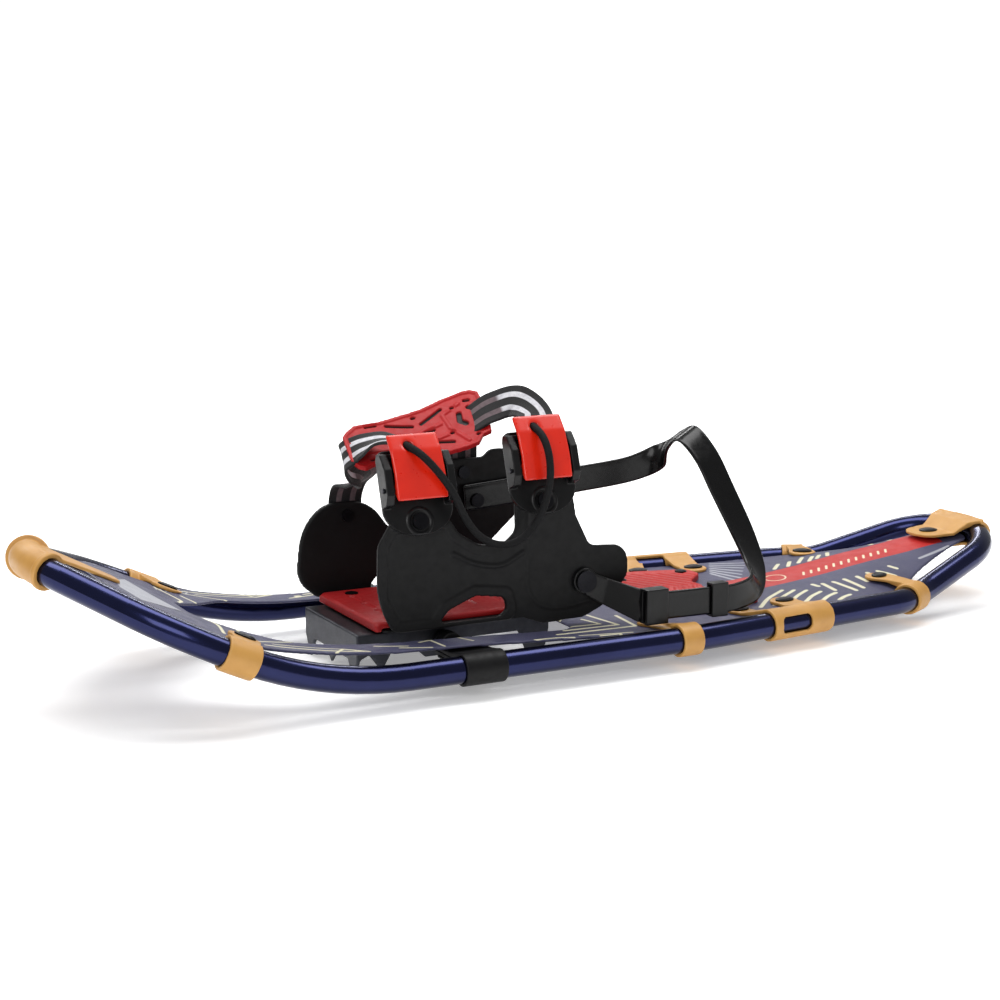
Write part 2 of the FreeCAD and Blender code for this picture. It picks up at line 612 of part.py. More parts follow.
def build_wings():
    left = wing_wall(LEFT_WING, LEFT_RADII, -1)
    for spot in (FRONT_BUCKLE, REAR_BUCKLE):
        place = buckle_place(spot)
        lobe = box(-20, 20, 0.0, WING_T, -4, 34)
        upright = [e for e in lobe.Edges if abs(e.tangentAt(e.FirstParameter).y) > 0.9 and e.CenterOfMass.z > 20]
        left = left.fuse(place.put(lobe.makeFillet(8, upright)))
    left = left.removeSplitter()
    right = wing_wall(RIGHT_WING, RIGHT_RADII, 1)
    heads = []
    for spot in (FRONT_BUCKLE, REAR_BUCKLE):
        place = buckle_place(spot)
        left = left.cut(place.put(fused(buckle_rivet())))
    left = left.cut(rod(V(HEEL_RIVET.x, -90, HEEL_RIVET.z), V(HEEL_RIVET.x, -40, HEEL_RIVET.z), 4.0))
    for x, z in ((240, 74), (331, 98), (340, 77)):
        right = right.cut(rod(V(x, 40, z), V(x, 90, z), 2.0))
        heads.append((x, z))
    save("left_wing", bolt_holes(left, 2.6))
    save("right_wing", bolt_holes(right, 2.6))
    return heads


# --- buckles ---------------------------------------------------------------------------------
CAM_UP, CAM_OUT = 21.0, -8.5
CORD_D = 5.2
CORD_ROUTE = [(235.5, -51.4, 140.3), (238.3, -61.8, 138.5), (246.7, -70, 128.9), (260, -73, 111),
              (268, -72.5, 93), (279, -71, 78.5), (295, -69.8, 70.3), (311, -70, 72),
              (322.5, -72.5, 84.5), (328.5, -75.5, 101), (330.5, -76.5, 118), (330.5, -72.5, 133.9),
              (329.5, -62.6, 144.6), (329.5, -51.4, 146.3)]
LEVER_HALF = 18.5


def buckle(spot, cord_end, cord_next):
    """A cam buckle on a wing lobe: body, cross pin, lever, spring and rivet."""
    place = buckle_place(spot)
    back = box(-25, 25, -2.3, -GAP, -9, 48)
    rounded = [e for e in back.Edges if abs(e.tangentAt(e.FirstParameter).y) > 0.9]
    back = back.makeFillet(6, rounded)
    cheeks = []
    for side in (-1, 1):
        x0, x1 = sorted((side * 19.5, side * 25))
        outline = [V(x0, -2.0, 10), V(x0, -9, 11), V(x0, -13, 17), V(x0, -13, 34), V(x0, -8, 45), V(x0, -2.0, 46)]
        cheeks.append(prism(polygon(outline), V(x1 - x0, 0, 0)))
    bar = rod(V(-20, -6.5, 43.5), V(20, -6.5, 43.5), 1.6)
    pin = rod(V(-26.5, CAM_OUT, CAM_UP), V(26.5, CAM_OUT, CAM_UP), 1.5)
    body = fused([back] + cheeks + [bar]).cut(pin).cut(rod(V(0, -9, 0), V(0, 9, 0), 2.0))
    barrel = rod(V(-LEVER_HALF, CAM_OUT, CAM_UP), V(LEVER_HALF, CAM_OUT, CAM_UP), 3.6)
    paddle = [V(-LEVER_HALF, -10.5, 14.5), V(-LEVER_HALF, -13.8, 12.4), V(-LEVER_HALF, -14.5, 30),
              V(-LEVER_HALF, -12.5, 46), V(-LEVER_HALF, -7.5, 58), V(-LEVER_HALF, -5.2, 57),
              V(-LEVER_HALF, -9.8, 45), V(-LEVER_HALF, -11.4, 30), V(-LEVER_HALF, -10.5, 20)]
    plate = prism(polygon(paddle), V(2 * LEVER_HALF, 0, 0))
    lever = fused([barrel, plate]).cut(rod(V(-30, CAM_OUT, CAM_UP), V(30, CAM_OUT, CAM_UP), 1.55))
    pocket = rod(V(-4, CAM_OUT, CAM_UP), V(4, CAM_OUT, CAM_UP), 3.3)
    lever = lever.cut(pocket)
    coil = rod(V(-3.6, CAM_OUT, CAM_UP), V(3.6, CAM_OUT, CAM_UP), 2.9).cut(
        rod(V(-5, CAM_OUT, CAM_UP), V(5, CAM_OUT, CAM_UP), 1.9))
    eye = rod(cord_end, cord_end + (cord_next - cord_end) * 1.2, CORD_D / 2 + 0.4)
    placed = [place.put(s) for s in (body, pin, lever, coil, fused(buckle_rivet()))]
    placed[2] = placed[2].cut(eye)
    return placed


def build_buckles():
    fasteners = []
    route = [V(*p) for p in CORD_ROUTE]
    for name, spot, end, beyond in (("front", FRONT_BUCKLE, route[0], route[1]),
                                    ("rear", REAR_BUCKLE, route[-1], route[-2])):
        body, pin, lever, coil, fastener = buckle(spot, end, beyond)
        save(name + "_buckle", body)
        save(name + "_cam_pin", pin)
        save(name + "_lever", lever)
        save(name + "_lever_spring", coil)
        fasteners.append(fastener)
    return fasteners


# --- soft parts and straps -------------------------------------------------------------------


def cord_tube(points, diameter):
    """A tube of straight runs and arcs as large as the runs allow; prints each arc's radius."""
    spots = [V(*p) for p in points]
    radii = []
    for before, at, after in zip(spots, spots[1:], spots[2:]):
        turn = math.pi - (before - at).getAngle(after - at)
        shorter = min(before.distanceToPoint(at), at.distanceToPoint(after))
        radii.append(0.45 * shorter / math.tan(turn / 2))
    print("cord radii in diameters:", [round(r / diameter, 1) for r in radii])
    path = rounded_path(spots, radii)
    tube = round_sweep(path, diameter / 2)
    print("cord length", round(path.Length, 1), "volume ratio",
          round(tube.Volume / (path.Length * math.pi * diameter**2 / 4), 3))
    return tube


def into_buckle(spot):
    """The end of a strap: in over the buckle's bar and down behind its cam."""
    place = buckle_place(spot)
    return [(place.point(0, -3.6, c), (1, 0, 0)) for c in (52, 44, 30, 15)]


def build_straps(heads, fasteners):
    """Webbing over the instep with its pad, the heel strap, and every rivet in the wings."""
    webbing_w, webbing_t = 25.0, 1.8
    x_axis = (1, 0, 0)
    front = [(V(240, 61.2, 60), x_axis), (V(240, 61.3, 86), x_axis), (V(241, 57, 95), x_axis),
             (V(243, 42, 101), (0.95, 0.1, 0.3)), (V(240, 22, 109), (0.9, 0.35, 0.25)),
             (V(228, 6, 115), (0.6, 0.65, 0.45)), (V(215.5, -3, 119.5), (0.3, 0.75, 0.6)),
             (V(211, -7, 127), (0.15, 0.77, 0.63)), (V(218, -11, 133), (0.3, 0.78, 0.56)),
             (V(224.3, -17, 136.5), (0.45, 0.79, 0.41)), (V(229.7, -27, 139.8), (0.56, 0.82, 0.1)),
             (V(235.5, -38, 141), (0.85, 0.5, 0))] + into_buckle(FRONT_BUCKLE)
    rear = [(V(331, 61.2, 84), x_axis), (V(331, 61.2, 111), x_axis), (V(328, 55, 126), x_axis),
            (V(318, 36, 135), (0.93, 0.35, 0)), (V(306, 14, 138.5), (0.8, 0.58, 0.1)),
            (V(300.5, -4, 141), (0.35, 0.75, 0.55)), (V(313, -10.5, 151.5), (0.2, 0.74, 0.64)),
            (V(324.5, -13.5, 156.5), (0.12, 0.72, 0.68)), (V(331, -18, 158.8), (0.15, 0.7, 0.7)),
            (V(334.5, -24, 158.3), (0.3, 0.66, 0.69)), (V(337.2, -31, 155.8), (0.6, 0.56, 0.57)),
            (V(338, -39, 152), (0.88, 0.36, 0.3))] + into_buckle(REAR_BUCKLE)
    straps = {"front_strap": band(front, webbing_w, webbing_t), "rear_strap": band(rear, webbing_w, webbing_t)}
    wing_rivets = []
    for (name, strap), (x, z) in zip(straps.items(), heads):
        wing_rivets.append(fused([rod(V(x, 55.5, z), V(x, 57, z), 4.5), rod(V(x, 57, z), V(x, 62.1, z), 2.0),
                                  rod(V(x, 62.1, z), V(x, 63.6, z), 5.0)]))
        save(name, largest(strap.cut(wing_rivets[-1])))

    # Each station of the pad: how far along, its height, and how far it reaches to the far and near side.
    pad_side, face = V(0, -0.82, -0.57), V(-0.25, -0.55, 0.8).normalize() * 1.7
    stations = [(214, 128, -18, 11), (220, 128.7, -24, 14), (262, 133, -28, 13), (290, 139, -31, 17),
                (313, 146, -30, 13), (319, 148, -25, 4)]
    rings = []
    for x, z, far, near in stations:
        middle = V(x, -12, z)
        rings.append(polygon([middle + pad_side * far - face, middle + pad_side * near - face,
                              middle + pad_side * near + face, middle + pad_side * far + face]))
    slots = fused([band(front, webbing_w + 1.5, webbing_t + 0.8), band(rear, webbing_w + 1.5, webbing_t + 0.8)])
    save("instep_pad", largest(Part.makeLoft(rings, True, True).cut(slots)))

    x, z = heads[2]
    heel = [(V(330, 54.5, 79), (0, 0, 1)), (V(372, 54, 82), (0, 0, 1)), (V(421, 52, 86), (0, 0, 1)),
            (V(470, 48, 92), (0, 0, 1)), (V(485, 38, 101), (0.3, 0, 0.95)), (V(489, 22, 116), (0.75, 0, 0.6)),
            (V(488, 4, 122), (0.9, 0, 0.45)), (V(492, -14, 109), (0.95, 0, 0.3)),
            (V(497, -30, 85), (0.97, 0, 0.25)), (V(503, -52, 52), (1, 0, -0.1)),
            (V(501, -68, 35), (0.9, 0.1, -0.4)), (V(490, -84, 25.5), (0.45, 0.1, -0.85)),
            (V(470, -91.5, 22), (0, 0, -1)), (V(438, -92.5, 22), (0, 0, -1)), (V(396, -92.5, 22.5), (0, 0, -1))]
    wing_rivets.append(fused([rod(V(x, 51.4, z), V(x, 52.8, z), 5.0), rod(V(x, 52.8, z), V(x, 60, z), 2.0),
                              rod(V(x, 60, z), V(x, 61.4, z), 5.0)]))
    save("heel_strap", largest(band(heel, 19.5, 2.4).cut(wing_rivets[-1])))
    save("binding_rivets", *fasteners, *wing_rivets)
    save("pull_cord", cord_tube(CORD_ROUTE, CORD_D))


def build_heel_buckle():
    """A ladder buckle on an arm that swivels about a rivet in the left wing, and the strap's keeper."""
    y = HEEL_RIVET.y
    disc = rod(V(HEEL_RIVET.x, y - 0.3, HEEL_RIVET.z), V(HEEL_RIVET.x, y - 3.3, HEEL_RIVET.z), 9.0)
    arm_rings = []
    for centre, half, out in ((V(367, y - 1.8, 36), 8, V(0, 1, 0)), (V(379, y - 4.5, 30), 9, V(0.35, 0.94, 0)),
                              (V(396, -87.6, 22), 11, V(0.8, 0.6, 0))):
        up, face = V(0.25, 0, 0.97) * half, out * 1.5
        arm_rings.append(polygon([centre - up - face, centre + up - face, centre + up + face, centre - up + face]))
    arm = Part.makeLoft(arm_rings, True, True)
    frame = box(394, 411, -97.2, -87, 10.6, 35)
    slot = box(385, 430, -94.4, -90.6, 12.0, 33.6)
    hole = rod(V(HEEL_RIVET.x, -90, HEEL_RIVET.z), V(HEEL_RIVET.x, -40, HEEL_RIVET.z), 4.05)
    head_room = rod(V(HEEL_RIVET.x, y - 3.4, HEEL_RIVET.z), V(HEEL_RIVET.x, y - 12, HEEL_RIVET.z), 7.9)
    buckle_shape = fused([disc, arm, frame]).cut(slot).cut(hole).cut(head_room)
    save("heel_buckle", largest(buckle_shape))
    pin = fused([rod(V(HEEL_RIVET.x, y - 3.6, HEEL_RIVET.z), V(HEEL_RIVET.x, y - 5.4, HEEL_RIVET.z), 7.5),
                 rod(V(HEEL_RIVET.x, y - 3.6, HEEL_RIVET.z), V(HEEL_RIVET.x, y + WING_T, HEEL_RIVET.z), 4.0),
                 rod(V(HEEL_RIVET.x, y + WING_T, HEEL_RIVET.z), V(HEEL_RIVET.x, y + WING_T + 1.4, HEEL_RIVET.z), 6.0)])
    save("heel_buckle_rivet", pin)
    keeper = box(447, 460, -96.4, -88, 10.3, 34.2).cut(box(440, 470, -94.5, -90.0, 11.8, 32.6))
    save("strap_keeper", keeper)


build_tube()
build_clips()
build_toe_wrap()
build_tail_wrap()
build_heel()
build_pivot()
build_base()
wing_heads = build_wings()
buckle_rivets = build_buckles()
build_straps(wing_heads, buckle_rivets)
build_heel_buckle()
save("deck_rivets", *rivets)
build_deck()
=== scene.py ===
import json
import math
import bmesh
import bpy
import numpy as np
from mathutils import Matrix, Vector


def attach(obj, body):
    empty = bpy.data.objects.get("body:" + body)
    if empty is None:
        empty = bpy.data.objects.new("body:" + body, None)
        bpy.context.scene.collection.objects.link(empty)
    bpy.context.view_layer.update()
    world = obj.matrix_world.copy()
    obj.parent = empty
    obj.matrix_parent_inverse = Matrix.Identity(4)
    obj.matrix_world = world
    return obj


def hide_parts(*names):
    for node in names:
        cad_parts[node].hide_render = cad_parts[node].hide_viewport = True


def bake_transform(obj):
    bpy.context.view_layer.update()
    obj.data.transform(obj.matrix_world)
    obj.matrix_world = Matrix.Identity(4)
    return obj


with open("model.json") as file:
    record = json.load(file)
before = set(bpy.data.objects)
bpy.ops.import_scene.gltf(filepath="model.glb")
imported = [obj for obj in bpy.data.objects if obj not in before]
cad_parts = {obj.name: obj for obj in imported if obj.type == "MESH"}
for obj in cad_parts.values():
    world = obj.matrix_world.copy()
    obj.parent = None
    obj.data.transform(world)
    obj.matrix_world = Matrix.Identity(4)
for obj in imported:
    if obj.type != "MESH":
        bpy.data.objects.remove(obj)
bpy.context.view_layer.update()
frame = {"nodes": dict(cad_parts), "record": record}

# Everything below is laid out in millimetres on the part's working axes: x from the toe of the
# tube's centreline to the tail, y to the wearer's right, z up from the axis of the side tubes.
TAIL_X = 744.0
FLOOR = -19.0
MM = 0.001
ORIGIN = np.array([TAIL_X / 2, 0.0, FLOOR])

# The camera: its lens on a 36 mm sensor, what it aims at, and where it stands from there.
LENS = 72.674
SENSOR = 36
AIM = (331.458, 0, 86.811)
AZIMUTH, ELEVATION, DISTANCE = math.radians(-27.09), math.radians(10.631), 1.413226

# The binding's cam buckles: their rivets' places and the lean of the wing lobes they sit on.
LEAN = math.radians(18)
FRONT_BUCKLE = np.array([241.0, -60.0, 90.0])
REAR_BUCKLE = np.array([333.5, -60.0, 96.0])


def row(points):
    """Working axes in millimetres to the frame's own, in metres."""
    return (np.asarray(points, float) - ORIGIN) * MM


# --- camera ---------------------------------------------------------------------------------
def put_camera():
    data = bpy.data.cameras.new("camera")
    data.sensor_width = SENSOR
    data.lens = LENS
    camera = bpy.data.objects.new("camera", data)
    bpy.context.scene.collection.objects.link(camera)
    level = math.cos(ELEVATION)
    back = Vector((math.sin(AZIMUTH) * level, -math.cos(AZIMUTH) * level, math.sin(ELEVATION)))
    camera.location = Vector(row(AIM)) + back * DISTANCE
    camera.rotation_euler = back.to_track_quat("Z", "Y").to_euler()
    bpy.context.scene.camera = camera


put_camera()


# --- materials ------------------------------------------------------------------------------
def srgb(r, g, b):
    """A colour given as 0 to 255 display values, as the shader's linear one."""
    out = []
    for value in (r, g, b):
        value = value / 255
        out.append(value / 12.92 if value <= 0.04045 else ((value + 0.055) / 1.055) ** 2.4)
    return (*out, 1.0)


class Paint:
    """A Principled material under construction, with short names for the nodes it needs."""

    def __init__(self, name, **sockets):
        self.material = bpy.data.materials.new(name)
        self.material.use_nodes = True
        self.tree = self.material.node_tree
        self.bsdf = self.tree.nodes["Principled BSDF"]
        for key, value in sockets.items():
            self.bsdf.inputs[key.replace("_", " ")].default_value = value
        self.coords = self.tree.nodes.new("ShaderNodeTexCoord").outputs["Object"]

    def node(self, kind, inputs, output=0, **settings):
        node = self.tree.nodes.new("ShaderNode" + kind)
        for key, value in settings.items():
            setattr(node, key, value)
        for key, value in inputs.items():
            if isinstance(value, bpy.types.NodeSocket):
                self.tree.links.new(value, node.inputs[key])
            else:
                node.inputs[key].default_value = value
        return node.outputs[output]

    def set(self, socket, value):
        self.tree.links.new(value, self.bsdf.inputs[socket])

    def math(self, operation, *values):
        return self.node("Math", dict(enumerate(values)), operation=operation)

    def noise(self, scale, detail=3.0, rough=0.55, coords=None):
        return self.node("TexNoise", {"Vector": coords or self.coords, "Scale": scale,
                                      "Detail": detail, "Roughness": rough})

    def spread(self, value, low, high, to_low=0.0, to_high=1.0):
        return self.node("MapRange", {0: value, 1: low, 2: high, 3: to_low, 4: to_high})

    def mix(self, factor, first, second):
        return self.node("Mix", {0: factor, 6: first, 7: second}, output=2, data_type="RGBA")

    def stretched(self, x, y, z):
        return self.node("Mapping", {"Vector": self.coords, "Scale": (x, y, z)})

    def attribute(self, name, part=2):
        """A value stored on the mesh, as a vector for part 1 and as a number for part 2."""
        return self.node("Attribute", {}, output=part, attribute_name=name)

    def bump(self, height, depth):
        return self.node("Bump", {"Height": height, "Distance": depth, "Strength": 1.0})


def moulded(name, colour, other, rough, grain=1400.0, depth=0.00004, worn=None, mottle=55.0,
            painted_slot_shade=None, **sockets):
    """Moulded plastic or rubber: two close colours in soft patches, a fine grain, paler edges.

    The slot colour is painted shade: it fills the places whose slot attribute, a distance in
    millimetres, is below 0.
    """
    paint = Paint(name, **sockets)
    patches = paint.spread(paint.noise(mottle, 4.0), 0.35, 0.68)
    shade = paint.mix(patches, colour, other)
    if worn:
        sharp = paint.node("NewGeometry", {}, output="Pointiness")
        shade = paint.mix(paint.spread(sharp, 0.515, 0.60, 0.0, 0.55), shade, worn)
    # Painted shade: the floors of the instep pad's slots go near black.
    if painted_slot_shade:
        inside = paint.spread(paint.attribute("painted_slot_shade"), -0.35, 0.15, 1.0, 0.0)
        shade = paint.mix(inside, shade, painted_slot_shade)
    specks = paint.noise(grain, 3.0, 0.6)
    paint.set("Base Color", shade)
    paint.set("Roughness", paint.spread(paint.noise(mottle * 5, 4.0), 0.3, 0.7, *rough))
    paint.set("Normal", paint.bump(specks, depth))
    return paint.material


def metal(name, colour, other, rough):
    """Coated or brushed metal with a fine grain and uneven polish."""
    paint = Paint(name, Metallic=1.0)
    fine = paint.noise(1.0, 4.0, 0.6, paint.stretched(900.0, 900.0, 900.0))
    cloud = paint.spread(paint.noise(70.0, 4.0), 0.35, 0.7)
    paint.set("Base Color", paint.mix(cloud, colour, other))
    paint.set("Roughness", paint.spread(fine, 0.3, 0.7, *rough))
    paint.set("Normal", paint.bump(fine, 0.00002))
    return paint.material


def anodised_tube():
    paint = Paint("navy_anodised", Metallic=1.0, Coat_Weight=0.3, Coat_Roughness=0.12)
    drawn = paint.noise(1.0, 3.0, 0.6, paint.stretched(60.0, 1800.0, 1800.0))
    cloud = paint.spread(paint.noise(30.0, 3.0), 0.3, 0.7)
    paint.set("Base Color", paint.mix(cloud, (0.011, 0.014, 0.060, 1), (0.015, 0.019, 0.076, 1)))
    paint.set("Roughness", paint.spread(drawn, 0.3, 0.7, 0.20, 0.27))
    paint.set("Normal", paint.bump(drawn, 0.000004))
    return paint.material


def woven_webbing():
    """Black webbing with two stripes: white on its face, and a darker pinkish grey where its back
    is turned outward, which is painted shade.

    The strap attribute holds millimetres across and along, and 1 where the back is turned outward.
    """
    paint = Paint("striped_webbing", Roughness=0.8, Sheen_Weight=0.1, Sheen_Roughness=0.4)
    across, along, back = [paint.node("SeparateXYZ", {0: paint.attribute("strap", 1)}, output=k)
                           for k in range(3)]
    side = paint.math("ABSOLUTE", across)
    stripe = paint.math("MULTIPLY", paint.spread(side, 3.0, 3.25),
                        paint.spread(side, 7.1, 7.35, 1.0, 0.0))
    pick = paint.math("SINE", paint.math("MULTIPLY", along, 5.2))
    warp = paint.math("SINE", paint.math("MULTIPLY", across, 7.4))
    weave = paint.math("MULTIPLY", pick, warp)
    rib = paint.math("ABSOLUTE", pick)
    dirt = paint.spread(paint.noise(260.0, 4.0), 0.3, 0.75)
    white = paint.mix(dirt, srgb(228, 228, 232), srgb(188, 188, 196))
    # Painted shade: on the strap's back, turned outward before the crease, the stripes take this
    # darker pinkish grey.
    stripe_painted_shade = paint.mix(dirt, srgb(112, 94, 98), srgb(78, 68, 72))
    white = paint.mix(back, white, stripe_painted_shade)
    black = paint.mix(paint.spread(weave, -1, 1), srgb(9, 9, 10), srgb(24, 24, 27))
    # Painted shade: the stripes go darker grey in the grooves between the picks.
    stripe_with_painted_groove_shade = paint.mix(paint.spread(rib, 0.0, 0.35, 0.5, 0.0), white, srgb(90, 88, 94))
    paint.set("Base Color", paint.mix(stripe, black, stripe_with_painted_groove_shade))
    height = paint.math("ADD", paint.math("MULTIPLY", rib, 0.7), paint.math("MULTIPLY", weave, 0.3))
    paint.set("Normal", paint.bump(height, 0.00018))
    return paint.material


def deck_sheet_material():
    """Coated deck cloth with its print, a painted shadow along the toe panel's step, and a painted
    reflection on that panel.

    Each print attribute is the distance from that ink's edge in millimetres, negative inside.
    """
    paint = Paint("printed_deck", Specular_IOR_Level=0.35)
    cloud = paint.spread(paint.noise(45.0, 4.0), 0.3, 0.7)
    cloth = paint.mix(cloud, srgb(66, 66, 92), srgb(80, 80, 106))
    ways = [paint.node("SeparateXYZ", {0: paint.coords}, output=k) for k in (0, 1)]
    waves = [paint.math("SINE", paint.math("MULTIPLY", way, 5200.0)) for way in ways]
    threads = paint.math("MULTIPLY", *waves)
    shade = paint.mix(paint.spread(threads, -1, 1, 0.0, 0.25), cloth, srgb(46, 46, 70))
    worn = paint.spread(paint.noise(900.0, 5.0, 0.7), 0.30, 0.42, 0.25, 1.0)
    # The dark ink is painted shadow along the edge of the toe panel's step; the grey ink is print,
    # and on the toe panel it is painted reflection.
    for name, colour, second in (("painted_step_shadow", srgb(34, 34, 52), srgb(40, 40, 58)),
                                 ("grey_print_and_painted_reflection", srgb(176, 178, 184), srgb(150, 152, 162)),
                                 ("print_red", srgb(190, 40, 36), srgb(174, 33, 32)),
                                 ("print_cream", srgb(224, 220, 190), srgb(208, 203, 172))):
        inside = paint.spread(paint.attribute(name), -0.22, 0.22, 1.0, 0.0)
        ink = paint.mix(paint.noise(120.0, 3.0), colour, second)
        cover = paint.math("MULTIPLY", inside, worn if name != "print_red" else 1.0)
        shade = paint.mix(cover, shade, ink)
    paint.set("Base Color", shade)
    paint.set("Roughness", paint.spread(paint.noise(90.0, 4.0), 0.3, 0.7, 0.38, 0.52))
    paint.set("Normal", paint.bump(threads, 0.00006))
    return paint.material


TUBE = anodised_tube()
DECK = deck_sheet_material()
TAN = moulded("tan_wrap", srgb(196, 146, 74), srgb(186, 136, 66), (0.38, 0.52),
              worn=srgb(214, 170, 104))
# The red moulding; the near-black in its slots is painted shade.
RED_PAD = moulded("red_moulding", srgb(176, 16, 20), srgb(162, 13, 17), (0.45, 0.60),
                  worn=srgb(190, 34, 32), painted_slot_shade=srgb(8, 5, 5), Specular_IOR_Level=0.3)
HEEL_RED = moulded("heel_moulding", srgb(184, 30, 26), srgb(170, 25, 22), (0.42, 0.60),
                   worn=srgb(196, 52, 44), Specular_IOR_Level=0.35)
LEVER_RED = moulded("lever_red", srgb(214, 34, 8), srgb(206, 30, 7), (0.27, 0.32), depth=0.000003,
                    Coat_Weight=0.3, Coat_Roughness=0.12)
BLACK = moulded("black_moulding", srgb(9, 9, 10), srgb(13, 13, 14), (0.42, 0.58), grain=2200.0,
                worn=srgb(22, 22, 24), Specular_IOR_Level=0.22)
SATIN_BLACK = moulded("satin_black", srgb(9, 9, 10), srgb(13, 13, 14), (0.28, 0.40), grain=2600.0,
                      depth=0.00002, worn=srgb(30, 30, 33), Specular_IOR_Level=0.3)
RUBBER = moulded("strap_rubber", srgb(5, 5, 6), srgb(9, 9, 10), (0.18, 0.26), grain=1800.0,
                 depth=0.000005, Specular_IOR_Level=0.3)
CORD = moulded("braided_cord", srgb(8, 8, 9), srgb(17, 17, 19), (0.7, 0.85), grain=3200.0,
               depth=0.00008, mottle=900.0, Specular_IOR_Level=0.25)
STEEL = metal("dark_steel", srgb(76, 77, 82), srgb(60, 61, 66), (0.36, 0.52))
RIVET = metal("rivet_black", srgb(40, 40, 43), srgb(30, 30, 33), (0.32, 0.46))
BRIGHT = metal("bright_wire", srgb(205, 205, 210), srgb(180, 180, 188), (0.16, 0.26))
WEBBING = woven_webbing()
MATERIALS = {"tube": TUBE, "deck": DECK, "wrap": TAN, "red_pad": RED_PAD, "red_lever": LEVER_RED,
             "black_plastic": BLACK, "webbing": WEBBING, "cord": CORD, "strap": RUBBER,
             "steel": STEEL, "rivet": RIVET, "bright": BRIGHT}
SLOT_OF = {part["node"]: part["material_slot"] for part in frame["record"]["subparts"]}
BODY_OF = {node: body for body, members in frame["record"]["behaviour"]["bodies"].items()
           for node in members}


# --- making pieces --------------------------------------------------------------------------
def finished(name, mesh, material, node, rides=True):
    """The piece that replaces a CAD node, from a mesh that is already in the row frame."""
    mesh.polygons.foreach_set("use_smooth", [True] * len(mesh.polygons))
    mesh.materials.clear()
    mesh.materials.append(material)
    piece = bpy.data.objects.new(name, mesh)
    bpy.context.scene.collection.objects.link(piece)
    if rides:
        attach(piece, BODY_OF[node])
    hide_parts(node)
    return piece


def raw_mesh(name, points, faces):
    mesh = bpy.data.meshes.new(name)
    mesh.from_pydata([tuple(p) for p in points], [], [tuple(f) for f in faces])
    mesh.update()
    return mesh


def evaluated(mesh, *modifiers):
    """The mesh after modifiers given as (type, settings)."""
    holder = bpy.data.objects.new("work", mesh)
    bpy.context.scene.collection.objects.link(holder)
    for kind, settings in modifiers:
        modifier = holder.modifiers.new(kind, kind)
        for key, value in settings.items():
            setattr(modifier, key, value)
    graph = bpy.context.evaluated_depsgraph_get()
    result = bpy.data.meshes.new_from_object(holder.evaluated_get(graph))
    bpy.data.objects.remove(holder)
    return result


def softened(mesh, voxel, rounds):
    """The mesh as one moulding: overlapping solids joined, and every edge slightly rounded."""
    remesh = {"mode": "VOXEL", "voxel_size": voxel * MM, "adaptivity": 0.0}
    return evaluated(mesh, ("REMESH", remesh), ("SMOOTH", {"factor": 0.5, "iterations": rounds}))


def from_cad(node):
    """A copy of a CAD node's mesh, its points joined where they meet."""
    mesh = frame["nodes"][node].data.copy()
    work = bmesh.new()
    work.from_mesh(mesh)
    bmesh.ops.remove_doubles(work, verts=work.verts, dist=1e-6)
    work.to_mesh(mesh)
    work.free()
    return mesh


def remould(node, voxel, rounds):
    """A CAD piece redone as a soft-edged moulding of the same size."""
    mesh = softened(from_cad(node), voxel, rounds)
    material = SPECIAL_FINISH.get(node, MATERIALS[SLOT_OF[node]])
    finished(node + "_shape", mesh, material, node)


# --- frame and small parts ------------------------------------------------------------------
for node in BODY_OF:
    mesh = frame["nodes"][node].data
    mesh.materials.clear()
    mesh.materials.append(MATERIALS[SLOT_OF[node]])

# Voxel size in millimetres and rounds of smoothing.
REMOULDED = {"toe_wrap": (0.6, 5), "tail_wrap": (0.6, 5), "foot_plate": (0.6, 3),
             "toe_crampon": (0.7, 2), "heel_crampon": (0.7, 2), "front_lever": (0.6, 60),
             "rear_lever": (0.6, 60), "heel_buckle": (0.5, 4), "strap_keeper": (0.45, 4),
             "base_plate": (0.8, 2)}
for kind in ("front_clip", "side_clip", "window_clip", "rear_clip", "pivot_strap", "pivot_block"):
    for side in ("left", "right"):
        REMOULDED[f"{kind}_{side}"] = (0.55, 5)
SPECIAL_FINISH = {"heel_buckle": SATIN_BLACK, "strap_keeper": SATIN_BLACK}
for node, (voxel, rounds) in REMOULDED.items():
    remould(node, voxel, rounds)


# --- relief and print -----------------------------------------------------------------------
def away_from(spots, line):
    """Distance of each spot from a run of straight pieces."""
    best = np.full(len(spots), 1e9)
    for a, b in zip(line, line[1:]):
        a, along = np.asarray(a, float), np.subtract(b, a).astype(float)
        t = np.clip((spots - a) @ along / (along @ along), 0, 1)
        best = np.minimum(best, np.linalg.norm(spots - a - t[:, None] * along, axis=1))
    return best


def beyond(spots, corners):
    """Signed distance from a closed outline, negative inside it."""
    loop = list(corners) + [corners[0]]
    inside = np.zeros(len(spots), bool)
    for (u0, v0), (u1, v1) in zip(loop, loop[1:]):
        crosses = (v0 > spots[:, 1]) != (v1 > spots[:, 1])
        level = (u1 - u0) * (spots[:, 1] - v0) / (v1 - v0 + 1e-9) + u0
        inside ^= crosses & (spots[:, 0] < level)
    distance = away_from(spots, loop)
    return np.where(inside, -distance, distance)


def ramp(value, low, high):
    """Smoothly from 0 at low to 1 at high."""
    t = np.clip((value - low) / (high - low), 0, 1)
    return t * t * (3 - 2 * t)


def points_of(mesh):
    """Positions in millimetres, and normals, of a mesh's points."""
    count = len(mesh.vertices)
    where, normal = np.zeros(count * 3), np.zeros(count * 3)
    mesh.vertices.foreach_get("co", where)
    mesh.vertices.foreach_get("normal", normal)
    return where.reshape(-1, 3) / MM, normal.reshape(-1, 3)


def spots_of(mesh):
    """The same on the working axes."""
    where, normal = points_of(mesh)
    return where + ORIGIN, normal


